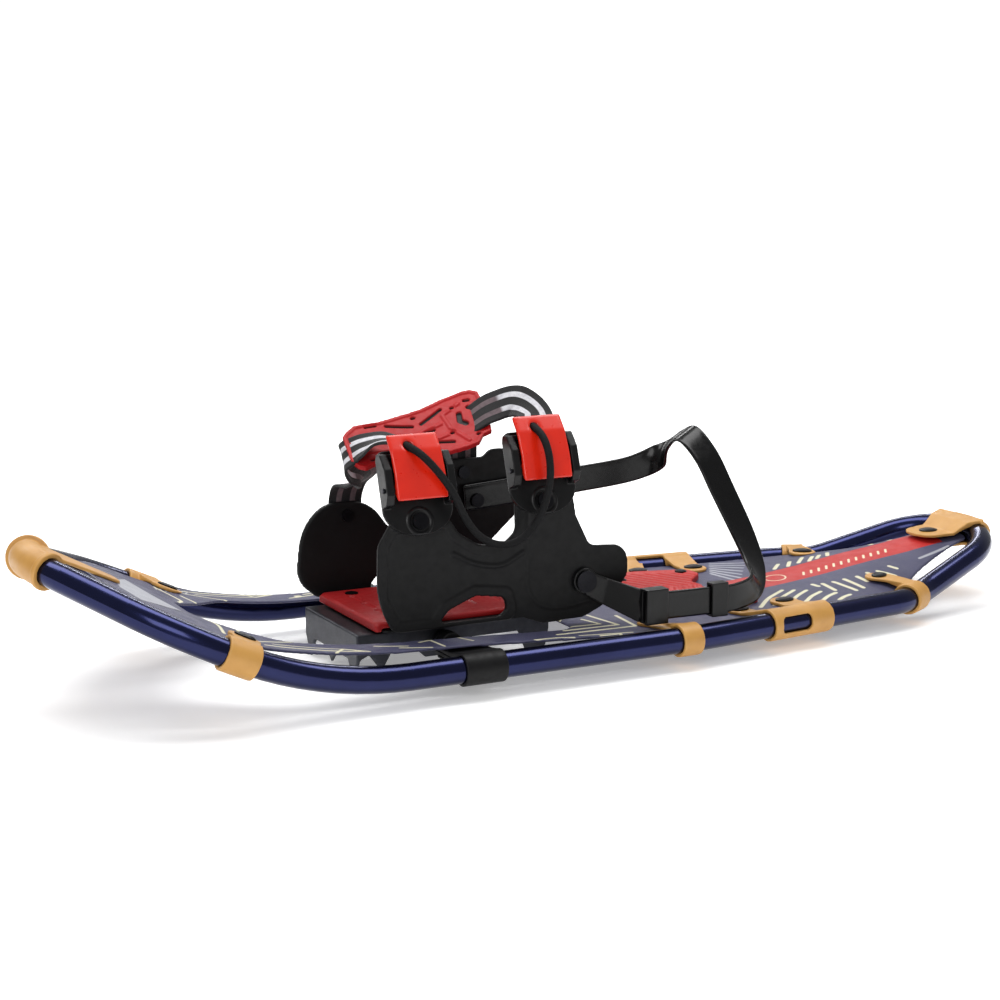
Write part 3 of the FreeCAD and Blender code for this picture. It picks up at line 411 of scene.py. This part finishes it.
def put_at(mesh, where):
    """Moves a mesh's points to places on the working axes."""
    mesh.vertices.foreach_set("co", row(where).ravel())
    mesh.update()


def marked(mesh, name, values):
    mesh.attributes.new(name, "FLOAT", "POINT").data.foreach_set("value", values)


def mirrored(line):
    return [(x, -y) for x, y in line]


def flowing(keys, step):
    """Evenly spaced rows of a smooth curve through the keys, which are points of any dimension."""
    keys = np.asarray(keys, float)
    padded = np.vstack([2 * keys[0] - keys[1], keys, 2 * keys[-1] - keys[-2]])
    rows = []
    for k in range(len(keys) - 1):
        p0, p1, p2, p3 = padded[k:k + 4]
        d0, d1, d2 = (max(np.linalg.norm((b - a)[:3]), 1e-6) ** 0.5
                      for a, b in ((p0, p1), (p1, p2), (p2, p3)))
        m1 = (p2 - p1) + d1 * ((p1 - p0) / d0 - (p2 - p0) / (d0 + d1))
        m2 = (p2 - p1) + d1 * ((p3 - p2) / d2 - (p3 - p1) / (d1 + d2))
        for t in np.linspace(0, 1, 24, endpoint=k == len(keys) - 2):
            rows.append((2 * t**3 - 3 * t**2 + 1) * p1 + (t**3 - 2 * t**2 + t) * m1
                        + (3 * t**2 - 2 * t**3) * p2 + (t**3 - t**2) * m2)
    rows = np.array(rows)
    run = np.r_[0, np.cumsum(np.linalg.norm(np.diff(rows[:, :3], axis=0), axis=1))]
    even = np.linspace(0, run[-1], max(int(run[-1] / step), 2))
    return np.stack([np.interp(even, run, rows[:, k]) for k in range(rows.shape[1])], -1), even


def smooth_run(points, step=2.0):
    """Points close together on a smooth curve through the given ones."""
    return [tuple(p) for p in flowing(points, step)[0]]


def leaning(starts, ends, width):
    """A row of straight strokes."""
    return [([a, b], width) for a, b in zip(starts, ends)]


FAR_OUTSIDE = 6.0       # stands for the distance where a print has no stroke or patch nearby

# Strokes that both sides of the deck have, given for the left one: (line, width).
SIDE_STROKES = [
    ([(371, -48), (376, -64), (350, -66)], 2.6), ([(381, -38), (387, -70), (342, -75)], 2.8),
    ([(400, -45), (397, -77), (332, -84)], 2.8), ([(385, -93), (345, -91)], 1.8),
    ([(375, -95), (359, -95)], 1.8), (smooth_run([(310, -93), (328, -92), (339, -94)]), 2.0),
    ([(353, -47), (366, -35)], 2.4), ([(123, -73), (164, -60)], 1.8),
    ([(169, -91), (178, -80), (193, -88)], 2.0), ([(202, -75), (223, -81)], 1.8),
    ([(216, -84), (236, -90)], 1.8), ([(234, -75), (243, -72), (245, -90)], 2.0),
    ([(263, -72), (269, -83)], 2.0),
    (smooth_run([(104, -25), (109, -35), (102, -71)]), 2.4),
    (smooth_run([(117, -28), (121, -37), (117, -60)]), 2.0),
    ([(125, -82), (190, -87)], 2.0), ([(132, -76), (176, -80)], 1.4)]
TAIL_ARCS = [[(510, -63), (531, -43), (551, -31)], [(522, -63), (541, -46), (558, -36)],
             [(534, -64), (551, -50), (565, -42)], [(547, -66), (560, -56), (572, -50)],
             [(560, -69), (570, -62), (580, -58)], [(573, -72), (580, -68), (587, -66)]]
LEFT_BARS = ([(577, -33), (584, -36), (593, -37), (603, -37),
              (614, -38), (625, -36), (634, -37), (648, -33)],
             [(578, -39), (583, -53), (597, -60), (605, -58),
              (615, -49), (629, -53), (642, -48), (651, -38)])
RIGHT_BARS = ([(580, 21), (592, 20), (603, 22), (611, 19), (619, 20), (629, 20)],
              [(591, 32), (601, 31), (615, 34), (621, 29), (627, 28), (636, 30)])
# Outline of the pale grey patch on the toe panel: a painted reflection of the overhead light on the
# panel's tilted face.
TOE_PANEL_PAINTED_REFLECTION = [(57, 12), (74, 46), (80, 9), (90, -24), (54, -57), (50, -25)]
TAIL_STRIPE = [(530, -17), (712, -17), (712, 17), (530, 17), (520, 10), (516, 0), (520, -10)]


def deck_print():
    """Strokes of (line, width) and patches of corners for each ink, on (x, y) of the deck's top."""
    cream = SIDE_STROKES + [(mirrored(line), width) for line, width in SIDE_STROKES]
    cream += [([(209, 80), (211, 80)], 4.0), ([(224, 82), (226, 82)], 4.0)]
    cream += leaning(*LEFT_BARS, 3.4) + [(smooth_run(arc), 3.2) for arc in TAIL_ARCS]
    cream += leaning(*RIGHT_BARS, 3.2)
    cream += [([(683, 43), (673, 22)], 4.0), ([(700, 36), (689, 20)], 4.0),
              ([(716, 30), (708, 20)], 3.6)]
    ring = [(566 + 8 * math.cos(t), 8 * math.sin(t)) for t in np.linspace(0, 2 * math.pi, 25)]
    cream.append((ring, 1.3))
    cream += [([(586 + 7 * k, -9), (590 + 7 * k, -3)], 1.8) for k in range(12)]
    hatch = [([(21 - 1.5 * k, -12 - 8.5 * k), (73 - 5.5 * k, -55 - 7.5 * k)], 0.9)
             for k in range(5)]
    grey = [([(679, -30), (712, -24)], 2.2)] + hatch
    grey += [(mirrored(line), width) for line, width in hatch]
    for k in range(7):
        grey.append(([(578 - 6.2 * k, 59 - 8 * k), (556 - 3.2 * k, 75 - 5.2 * k)], 2.6))
        grey.append(([(100 + 4 * k, 60 + 2 * k), (104 + 4 * k, 80)], 1.4))
    # Painted shadow: a dark line along two edges of the toe panel's step.
    step_shadow_strokes = [([(90, -24), (54, -57)], 3.4), ([(90, -24), (80, 9)], 1.6)]
    return {"print_cream": (cream, []), "grey_print_and_painted_reflection": (grey, [TOE_PANEL_PAINTED_REFLECTION]),
            "painted_step_shadow": (step_shadow_strokes, []), "print_red": ([], [TAIL_STRIPE])}


def printed_deck():
    mesh = softened(from_cad("deck"), 1.0, 2)
    where, normal = spots_of(mesh)
    top = normal[:, 2] > 0.3
    spots = where[top][:, :2]
    for name, (strokes, patches) in deck_print().items():
        ink = np.full(len(spots), FAR_OUTSIDE)
        for line, width in strokes:
            ink = np.minimum(ink, away_from(spots, line) - width / 2)
        for corners in patches:
            ink = np.minimum(ink, beyond(spots, corners))
        values = np.full(len(where), FAR_OUTSIDE, np.float32)
        values[top] = ink
        marked(mesh, name, values)
    finished("deck_cloth", mesh, DECK, "deck")


# --- wings ----------------------------------------------------------------------------------
LEFT_WING = [(222, 17), (211, 40), (212, 76), (221, 90.4), (263, 90.4), (270, 80), (284, 71),
             (302, 68), (313, 77), (312, 96.4), (357, 96.4), (359, 84), (370, 62), (399, 60),
             (401, 40), (388, 22), (366, 12), (334, 11), (318, 17)]
RIGHT_WING = [(216, 17), (201, 30), (205, 66), (222, 84), (256, 84), (272, 62), (300, 54),
              (312, 64), (314, 108), (347, 108), (353, 113), (371, 113), (377, 66), (352, 44),
              (342, 15), (318, 17)]
WING_HOLE = [(255, 19.5), (262, 28), (282, 36), (304, 33), (306, 24), (300, 19.5)]
WING_DIP = smooth_run([(266, 66), (282, 58), (302, 55), (318, 62)])
WING_RIB = smooth_run([(322, 90), (321, 60), (323, 34), (334, 23), (352, 21), (372, 24)])
BUCKLE_FOOT = 9.2       # half the width of a buckle's foot, which is also its radius
BUCKLE_RING = 8.4       # radius of the ring round its rivet


def bead(spots, line, height, core, reach):
    """A bead along a line: so high over its core, and down to nothing at its reach."""
    return height * (1 - ramp(away_from(spots, line), core, reach))


def wing(node, outline, outward):
    """A side wing: a raised border at the front and round its hole, and stiffening beads."""
    mesh = softened(from_cad(node), 0.8, 4)
    where, normal = spots_of(mesh)
    spots = where[:, [0, 2]]
    edge = -beyond(spots, outline)
    hole = beyond(spots, WING_HOLE)
    front = 1 - ramp(spots[:, 0], 268, 300)
    lift = 0.9 * front * (1 - ramp(edge, 6.2, 7.8)) * ramp(edge, -4, 0)
    lift = np.maximum(lift, 0.9 * (1 - ramp(hole, 6.0, 7.6)))
    lift = np.maximum(lift, bead(spots, WING_DIP, 0.8, 0.6, 2.2))
    lift = np.maximum(lift, bead(spots, WING_RIB, 0.5, 0.5, 1.8))
    flat = np.clip(normal[:, 1] * outward, 0, 1) ** 2
    low_enough = 1 - ramp(spots[:, 1], 92, 95)
    put_at(mesh, where + normal * (lift * flat * low_enough)[:, None])
    finished(node + "_shape", mesh, BLACK, node)


def buckle_body(node, spot):
    """A cam buckle's body, its foot rounded about the rivet, with a ring round the rivet's head."""
    mesh = softened(from_cad(node), 0.5, 3)
    where, normal = spots_of(mesh)
    a, y, z = (where - spot).T
    up = y * math.sin(LEAN) + z * math.cos(LEAN)
    narrow = np.sqrt(1 - np.clip((9 - up) / (2 * BUCKLE_FOOT), 0, 0.97) ** 2)
    ring = np.abs(np.hypot(a * narrow, up) - BUCKLE_RING)
    outward = -normal[:, 1] * math.cos(LEAN) + normal[:, 2] * math.sin(LEAN)
    lift = 0.7 * np.clip(outward, 0, 1) ** 2 * (1 - ramp(ring, 0.6, 1.5))
    where[:, 0] = spot[0] + a * narrow
    put_at(mesh, where + normal * lift[:, None])
    finished(node + "_shape", mesh, SATIN_BLACK, node)


# --- heel pad -------------------------------------------------------------------------------
def heel_pad():
    """The traction pad, with slanting ridges that meet along its middle and a plain rim."""
    mesh = softened(from_cad("heel_pad"), 0.7, 4)
    where, normal = spots_of(mesh)
    x, y = where[:, 0], np.abs(where[:, 1])
    sides = 1 - ramp(y + 0.35 * np.abs(x - 463), 52, 55)
    rim = ramp(x, 431, 434) * (1 - ramp(x, 512, 515)) * sides
    pitch = 8.0
    ridge = ramp(np.sin(2 * math.pi * (x + 0.55 * y) / pitch), -0.25, 0.45)
    lift = 0.9 * ridge * rim * np.clip(normal[:, 2], 0, 1) ** 3
    put_at(mesh, where + normal * lift[:, None])
    finished("heel_pad_shape", mesh, HEEL_RED, "heel_pad")


# --- instep pad -----------------------------------------------------------------------------
# The pad cut flat: (along the shoe, across it), with the slots as (line, width).
PAD_EDGE = [(214, -18), (217, -21), (225, -26), (244, -26), (259, -28), (276, -29), (293, -31.5),
            (307, -31.5), (314, -29.5), (318.5, -25), (318.5, -19), (315, -8), (316, 4.5),
            (314, 12.5), (307.5, 13), (302, 18), (292, 17.5), (280, 16.5), (272, 14), (240, 11),
            (230, 11.5), (220, 14.5), (215, 11), (212, 5)]
PAD_SLOTS = [([(247, -20.6), (264.5, -15.3)], 2.6), ([(271.3, -15.5), (288.5, -22.7)], 2.6),
             ([(271, -7), (277.7, -6.8)], 2.4), ([(275, 4), (286.7, 8.6)], 2.6),
             ([(299, -13), (297.4, -6.7), (300.5, -3)], 4.2),
             ([(307, -15.7), (309.6, -13.3), (307.7, 0), (306.2, 5.3)], 3.4),
             ([(306.6, -22.6), (309.4, -21.6)], 2.6), ([(267.2, -22.7), (268.4, -22.7)], 2.6),
             ([(295.8, -20.6), (297, -20.6)], 2.2), ([(288.2, 0.8), (289.2, 0.8)], 2.4),
             ([(304.3, 9.9), (305.3, 9.9)], 2.2),
             ([(232, -22.5), (240, -22.5)], 1.6), ([(226, 8), (236, 7.6)], 1.6)]
PAD_RELIEF = [[(287.7, -17), (288.8, -4), (297, 12)], [(302, -22), (287.7, -17)],
              [(218, -10), (262, -6), (284, -10)], [(218, 0), (262, 3), (286, 1)]]
PAD_RISE = [(206, 127.6), (214, 128), (226, 129.5), (262, 133), (290, 139), (316, 147), (326, 151)]
PAD_THICK = 3.0
PAD_SLOT_DEPTH = 1.7


def flat_sheet(name, outline, us, vs):
    """A flat mesh of the grid's cells that are wholly inside an outline."""
    grid = np.array([(u, v) for u in us for v in vs])
    keep = (beyond(grid, outline) < 0.0).reshape(len(us), len(vs))
    cells = keep[:-1, :-1] & keep[1:, :-1] & keep[:-1, 1:] & keep[1:, 1:]
    across = len(vs)
    faces = [(i * across + j, (i + 1) * across + j, (i + 1) * across + j + 1, i * across + j + 1)
             for i, j in zip(*np.nonzero(cells))]
    sheet = raw_mesh(name, np.c_[grid, np.zeros(len(grid))] * MM, faces)
    work = bmesh.new()
    work.from_mesh(sheet)
    loose = [v for v in work.verts if not v.link_faces]
    bmesh.ops.delete(work, geom=loose, context="VERTS")
    work.to_mesh(sheet)
    work.free()
    return sheet


def instep_pad():
    """The pad under the straps, with recessed slots: shaped flat, then laid over the instep."""
    sheet = flat_sheet("pad_flat", PAD_EDGE, np.arange(208, 323, 0.5), np.arange(-36, 22, 0.5))
    solid = evaluated(sheet, ("SOLIDIFY", {"thickness": PAD_THICK * MM, "offset": 0.0}))
    mesh = softened(solid, 0.5, 7)
    where, normal = points_of(mesh)
    spots = where[:, :2]
    lift = 0.7 * (1 - ramp(-beyond(spots, PAD_EDGE), 2.4, 3.6))
    for line in PAD_RELIEF:
        lift = np.maximum(lift, bead(spots, line, 0.8, 0.7, 2.0))
    slot = np.min([away_from(spots, line) - width / 2 for line, width in PAD_SLOTS], axis=0)
    lift = np.where(slot < 1.0, 0.0, lift) - PAD_SLOT_DEPTH * (1 - ramp(slot, -0.4, 0.2))
    where[:, 2] += lift * np.clip(normal[:, 2], 0, 1)
    # The slot distances, kept for painting shade into the slots.
    marked(mesh, "painted_slot_shade", slot.astype(np.float32))
    x, t, h = where.T
    rise = np.interp(x, *np.transpose(smooth_run(PAD_RISE, 1.0)))
    put_at(mesh, np.stack([x - 0.25 * h, -12 - 0.82 * t - 0.57 * h,
                           rise - 0.57 * t + 0.79 * h], -1))
    finished("instep_pad_shape", mesh, RED_PAD, "instep_pad")


# --- straps ---------------------------------------------------------------------------------
def on_buckle(spot, a, b, c):
    """A point in a buckle's own frame: a along the shoe, b into the wing, c up the leaning lobe."""
    cos, sin = math.cos(LEAN), math.sin(LEAN)
    return spot + np.array([a, b * cos + c * sin, c * cos - b * sin])


def tube_faces(count, around):
    """Faces of a closed tube of so many rings of so many points, with both ends capped."""
    faces = []
    for i in range(count - 1):
        for j in range(around):
            k = (j + 1) % around
            faces.append((i * around + j, i * around + k,
                          (i + 1) * around + k, (i + 1) * around + j))
    faces.append(tuple(range(around))[::-1])
    faces.append(tuple((count - 1) * around + j for j in range(around)))
    return faces


def strap_mesh(name, keys, section, step=1.0, turned=0.0):
    """A strap of that cross-section, (across, off) points, along keys of (centre, across).

    Its back is outward over the first so many millimetres, up to turned.
    """
    rows, run = flowing([(*centre, *across) for centre, across in keys], step)
    centre, side = rows[:, :3], rows[:, 3:]
    ahead = np.gradient(centre, axis=0)
    ahead /= np.linalg.norm(ahead, axis=1)[:, None]
    side = side - ahead * (side * ahead).sum(1)[:, None]
    side /= np.linalg.norm(side, axis=1)[:, None]
    face = np.cross(ahead, side)
    section = np.asarray(section, float)
    points = (centre[:, None] + side[:, None] * section[None, :, :1]
              + face[:, None] * section[None, :, 1:])
    count, around = len(centre), len(section)
    mesh = raw_mesh(name, row(points.reshape(-1, 3)), tube_faces(count, around))
    store = mesh.attributes.new("strap", "FLOAT_VECTOR", "POINT")
    values = np.zeros((count, around, 3), np.float32)
    values[:, :, 0] = section[None, :, 0]
    values[:, :, 1] = run[:, None]
    values[:, :, 2] = 1 - ramp(run, turned - 1.5, turned + 1.5)[:, None] if turned else 0
    store.data.foreach_set("vector", values.ravel())
    return mesh


def flat_section(width, thickness, edge):
    """A strap's cross-section: rounded edges, and selvedges that stand proud of the middle."""
    half = width / 2
    across = np.linspace(-half + edge, half - edge, 20)
    bulge = thickness / 2 * (1 + 0.16 * np.clip((np.abs(across) - half + 3.2) / 2.0, 0, 1))
    top = list(zip(across, bulge))
    turns = (0.6, 1.2, math.pi / 2, 1.94, 2.54)
    right = [(half - edge + edge * math.sin(t), bulge[-1] * math.cos(t)) for t in turns]
    low = [(u, -h) for u, h in zip(across[::-1], bulge[::-1])]
    left = [(-half + edge - edge * math.sin(t), -bulge[0] * math.cos(t)) for t in turns]
    return top + right + low + left


def into_buckle(spot):
    """The last keys of a strap that goes over its buckle's bar and down behind the cam."""
    return [(on_buckle(spot, 0, -3.6, c), (1, 0, 0)) for c in (52, 44, 30, 15)]


X_AXIS = (1, 0, 0)
UP, DOWN = (0, 0, 1), (0, 0, -1)
# Keys of (centre, direction across), from the rivets on the far wing.
FRONT_STRAP = [((240, 61.2, 60), X_AXIS), ((240, 61.3, 86), X_AXIS), ((241, 57, 95), X_AXIS),
               ((243, 42, 101), (0.95, 0.1, 0.3)), ((240, 22, 109), (0.9, 0.35, 0.25)),
               ((228, 6, 115), (0.6, 0.65, 0.45)), ((215.5, -3, 119.5), (0.3, 0.75, 0.6)),
               ((211, -7, 127), (0.15, 0.77, 0.63)), ((218, -11, 133), (0.3, 0.78, 0.56)),
               ((224.3, -17, 136.5), (0.45, 0.79, 0.41)), ((229.7, -27, 139.8), (0.56, 0.82, 0.1)),
               ((235.5, -38, 141), (0.85, 0.5, 0))] + into_buckle(FRONT_BUCKLE)
REAR_STRAP = [((331, 61.2, 84), X_AXIS), ((331, 61.2, 111), X_AXIS), ((328, 55, 126), X_AXIS),
              ((318, 36, 135), (0.93, 0.35, 0)), ((306, 14, 138.5), (0.8, 0.58, 0.1)),
              ((300.5, -4, 141), (0.35, 0.75, 0.55)), ((313, -10.5, 151.5), (0.2, 0.74, 0.64)),
              ((324.5, -13.5, 156.5), (0.12, 0.72, 0.68)), ((331, -18, 158.8), (0.15, 0.7, 0.7)),
              ((334.5, -24, 158.3), (0.3, 0.66, 0.69)), ((337.2, -31, 155.8), (0.6, 0.56, 0.57)),
              ((338, -39, 152), (0.88, 0.36, 0.3))] + into_buckle(REAR_BUCKLE)
HEEL_STRAP = [((330, 54.5, 79), UP), ((372, 54, 82), UP), ((421, 52, 86), UP), ((470, 48, 92), UP),
              ((485, 38, 101), (0.3, 0, 0.95)), ((489, 22, 116), (0.75, 0, 0.6)),
              ((488, 4, 122), (0.9, 0, 0.45)), ((492, -14, 109), (0.95, 0, 0.3)),
              ((497, -30, 85), (0.97, 0, 0.25)), ((503, -52, 52), (1, 0, -0.1)),
              ((501, -68, 35), (0.9, 0.1, -0.4)), ((490, -84, 25.5), (0.45, 0.1, -0.85)),
              ((470, -91.5, 22), DOWN), ((438, -92.5, 22), DOWN), ((396, -92.5, 22.5), DOWN)]
# Width, thickness and edge radius.
WEB_SECTION = flat_section(25.0, 1.8, 0.6)
HEEL_SECTION = flat_section(19.5, 2.4, 0.9)
for side, keys, turned in (("front", FRONT_STRAP, 106.0), ("rear", REAR_STRAP, 143.0)):
    name = side + "_webbing"
    finished(name, strap_mesh(name, keys, WEB_SECTION, turned=turned), WEBBING, side + "_strap")
heel_band = finished("heel_strap_rubber",
                     strap_mesh("heel_strap_rubber", HEEL_STRAP, HEEL_SECTION),
                     RUBBER, "heel_strap", rides=False)
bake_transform(heel_band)


printed_deck()
wing("left_wing", LEFT_WING, -1)
wing("right_wing", RIGHT_WING, 1)
heel_pad()
instep_pad()
buckle_body("front_buckle", FRONT_BUCKLE)
buckle_body("rear_buckle", REAR_BUCKLE)


# --- pull cord ------------------------------------------------------------------------------
CORD_D = 5.2
CORD_ROUTE = [(235.5, -51.4, 140.3), (238.3, -61.8, 138.5), (246.7, -70, 128.9), (260, -73, 111),
              (268, -72.5, 93), (279, -71, 78.5), (295, -69.8, 70.3), (311, -70, 72),
              (322.5, -72.5, 84.5), (328.5, -75.5, 101), (330.5, -76.5, 118),
              (330.5, -72.5, 133.9), (329.5, -62.6, 144.6), (329.5, -51.4, 146.3)]
BRAID_STEP = 0.00045
BRAID_STRANDS = 8
BRAID_ANGLE = math.radians(38)


def nurbs(name, route):
    """A smooth open curve with the route's points as its control points."""
    curve = bpy.data.curves.new(name, "CURVE")
    curve.dimensions = "3D"
    spline = curve.splines.new("NURBS")
    spline.points.add(len(route) - 1)
    for point, spot in zip(spline.points, row(route)):
        point.co = (*spot, 1)
    spline.order_u = 3
    spline.use_endpoint_u = True
    spline.resolution_u = 16
    return curve


def line_of(curve):
    """The points of a curve's own smooth line, in the row frame."""
    holder = bpy.data.objects.new("line", curve)
    bpy.context.scene.collection.objects.link(holder)
    graph = bpy.context.evaluated_depsgraph_get()
    mesh = bpy.data.meshes.new_from_object(holder.evaluated_get(graph))
    points = np.array([v.co for v in mesh.vertices])
    bpy.data.objects.remove(holder)
    return points


def braided(name, line, radius, around=28):
    """A round braid along a line of points: two families of strands that stand proud in turn."""
    run = np.r_[0, np.cumsum(np.linalg.norm(np.diff(line, axis=0), axis=1))]
    even = np.linspace(0, run[-1], int(run[-1] / BRAID_STEP))
    centre = np.stack([np.interp(even, run, line[:, k]) for k in range(3)], -1)
    ahead = np.gradient(centre, axis=0)
    ahead /= np.linalg.norm(ahead, axis=1)[:, None]
    up = np.cross(ahead[0], (0.3, 0.2, 0.9))
    turn = np.linspace(0, 2 * math.pi, around, endpoint=False)
    rings = []
    for k, forward in enumerate(ahead):
        up = up - forward * up.dot(forward)
        up /= np.linalg.norm(up)
        across = np.cross(forward, up)
        wind = even[k] / radius / math.tan(BRAID_ANGLE)
        strands = [np.cos(BRAID_STRANDS * (turn / 2 + hand * wind / 2)) ** 2 for hand in (1, -1)]
        relief = strands[0] * strands[1]
        size = radius * (0.93 + 0.10 * relief)
        outward = np.cos(turn)[:, None] * up + np.sin(turn)[:, None] * across
        rings.append(centre[k] + outward * size[:, None])
    return raw_mesh(name, np.array(rings).reshape(-1, 3), tube_faces(len(centre), around))


cord_line = line_of(nurbs("cord_line", CORD_ROUTE))
pull_cord = finished("pull_cord_braid", braided("pull_cord_braid", cord_line, CORD_D / 2 * MM),
                     CORD, "pull_cord", rides=False)
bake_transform(pull_cord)


# --- room -----------------------------------------------------------------------------------
WHITE = (1, 1, 1, 1)
WORLD_LIGHT, WORLD_SEEN = 0.32, 1.05
# Name, place, what it points at, size in metres, watts.
LIGHTS = (("overhead", (0.1, 0.25, 1.5), (0, 0, 0), (2.2, 0.7), 27.0),
          ("front_left", (-1.1, -1.3, 1.0), (0, 0, 0.05), (1.0, 0.8), 10.0),
          ("back_strip", (0.2, 1.3, 0.9), (0, 0, 0.05), (2.2, 0.12), 9.0))
FLOOR_HALF = 8.0


def backdrop(scene):
    """A world that lights the object softly and looks white."""
    world = bpy.data.worlds.new("studio")
    scene.world = world
    world.use_nodes = True
    tree = world.node_tree
    mix = tree.nodes.new("ShaderNodeMixShader")
    path = tree.nodes.new("ShaderNodeLightPath")
    tree.links.new(path.outputs["Is Camera Ray"], mix.inputs[0])
    seen = tree.nodes.new("ShaderNodeBackground")
    for slot, (node, strength) in enumerate(((tree.nodes["Background"], WORLD_LIGHT),
                                             (seen, WORLD_SEEN)), 1):
        node.inputs["Color"].default_value = WHITE
        node.inputs["Strength"].default_value = strength
        tree.links.new(node.outputs[0], mix.inputs[slot])
    tree.links.new(mix.outputs[0], tree.nodes["World Output"].inputs["Surface"])


def floor(scene):
    """A white floor that glows, more strongly with distance, so that it has no horizon."""
    far = FLOOR_HALF
    corners = [(-far, -far, 0), (far, -far, 0), (far, far, 0), (-far, far, 0)]
    mesh = raw_mesh("floor", corners, [(0, 1, 2, 3)])
    paint = Paint("floor_white", Roughness=0.7, Emission_Color=WHITE)
    reach = paint.node("VectorMath", {0: paint.coords}, output="Value", operation="LENGTH")
    # The floor's own glow: emission 0.30 near the object, rising to 0.95 far off.
    paint.set("Emission Strength", paint.spread(reach, 0.5, 1.6, 0.30, 0.95))
    paint.set("Base Color", paint.mix(paint.noise(3.0, 2.0),
                                      (0.93, 0.93, 0.935, 1), (0.95, 0.95, 0.95, 1)))
    mesh.materials.append(paint.material)
    plane = bpy.data.objects.new("floor", mesh)
    scene.collection.objects.link(plane)


def room():
    scene = bpy.context.scene
    scene.view_settings.view_transform = "Standard"
    backdrop(scene)
    for name, place, aim, size, energy in LIGHTS:
        light = bpy.data.lights.new(name, "AREA")
        light.shape = "RECTANGLE"
        light.size, light.size_y = size
        light.energy = energy
        holder = bpy.data.objects.new(name, light)
        holder.location = place
        holder.rotation_euler = (Vector(place) - Vector(aim)).to_track_quat("Z", "Y").to_euler()
        scene.collection.objects.link(holder)
    floor(scene)


room()
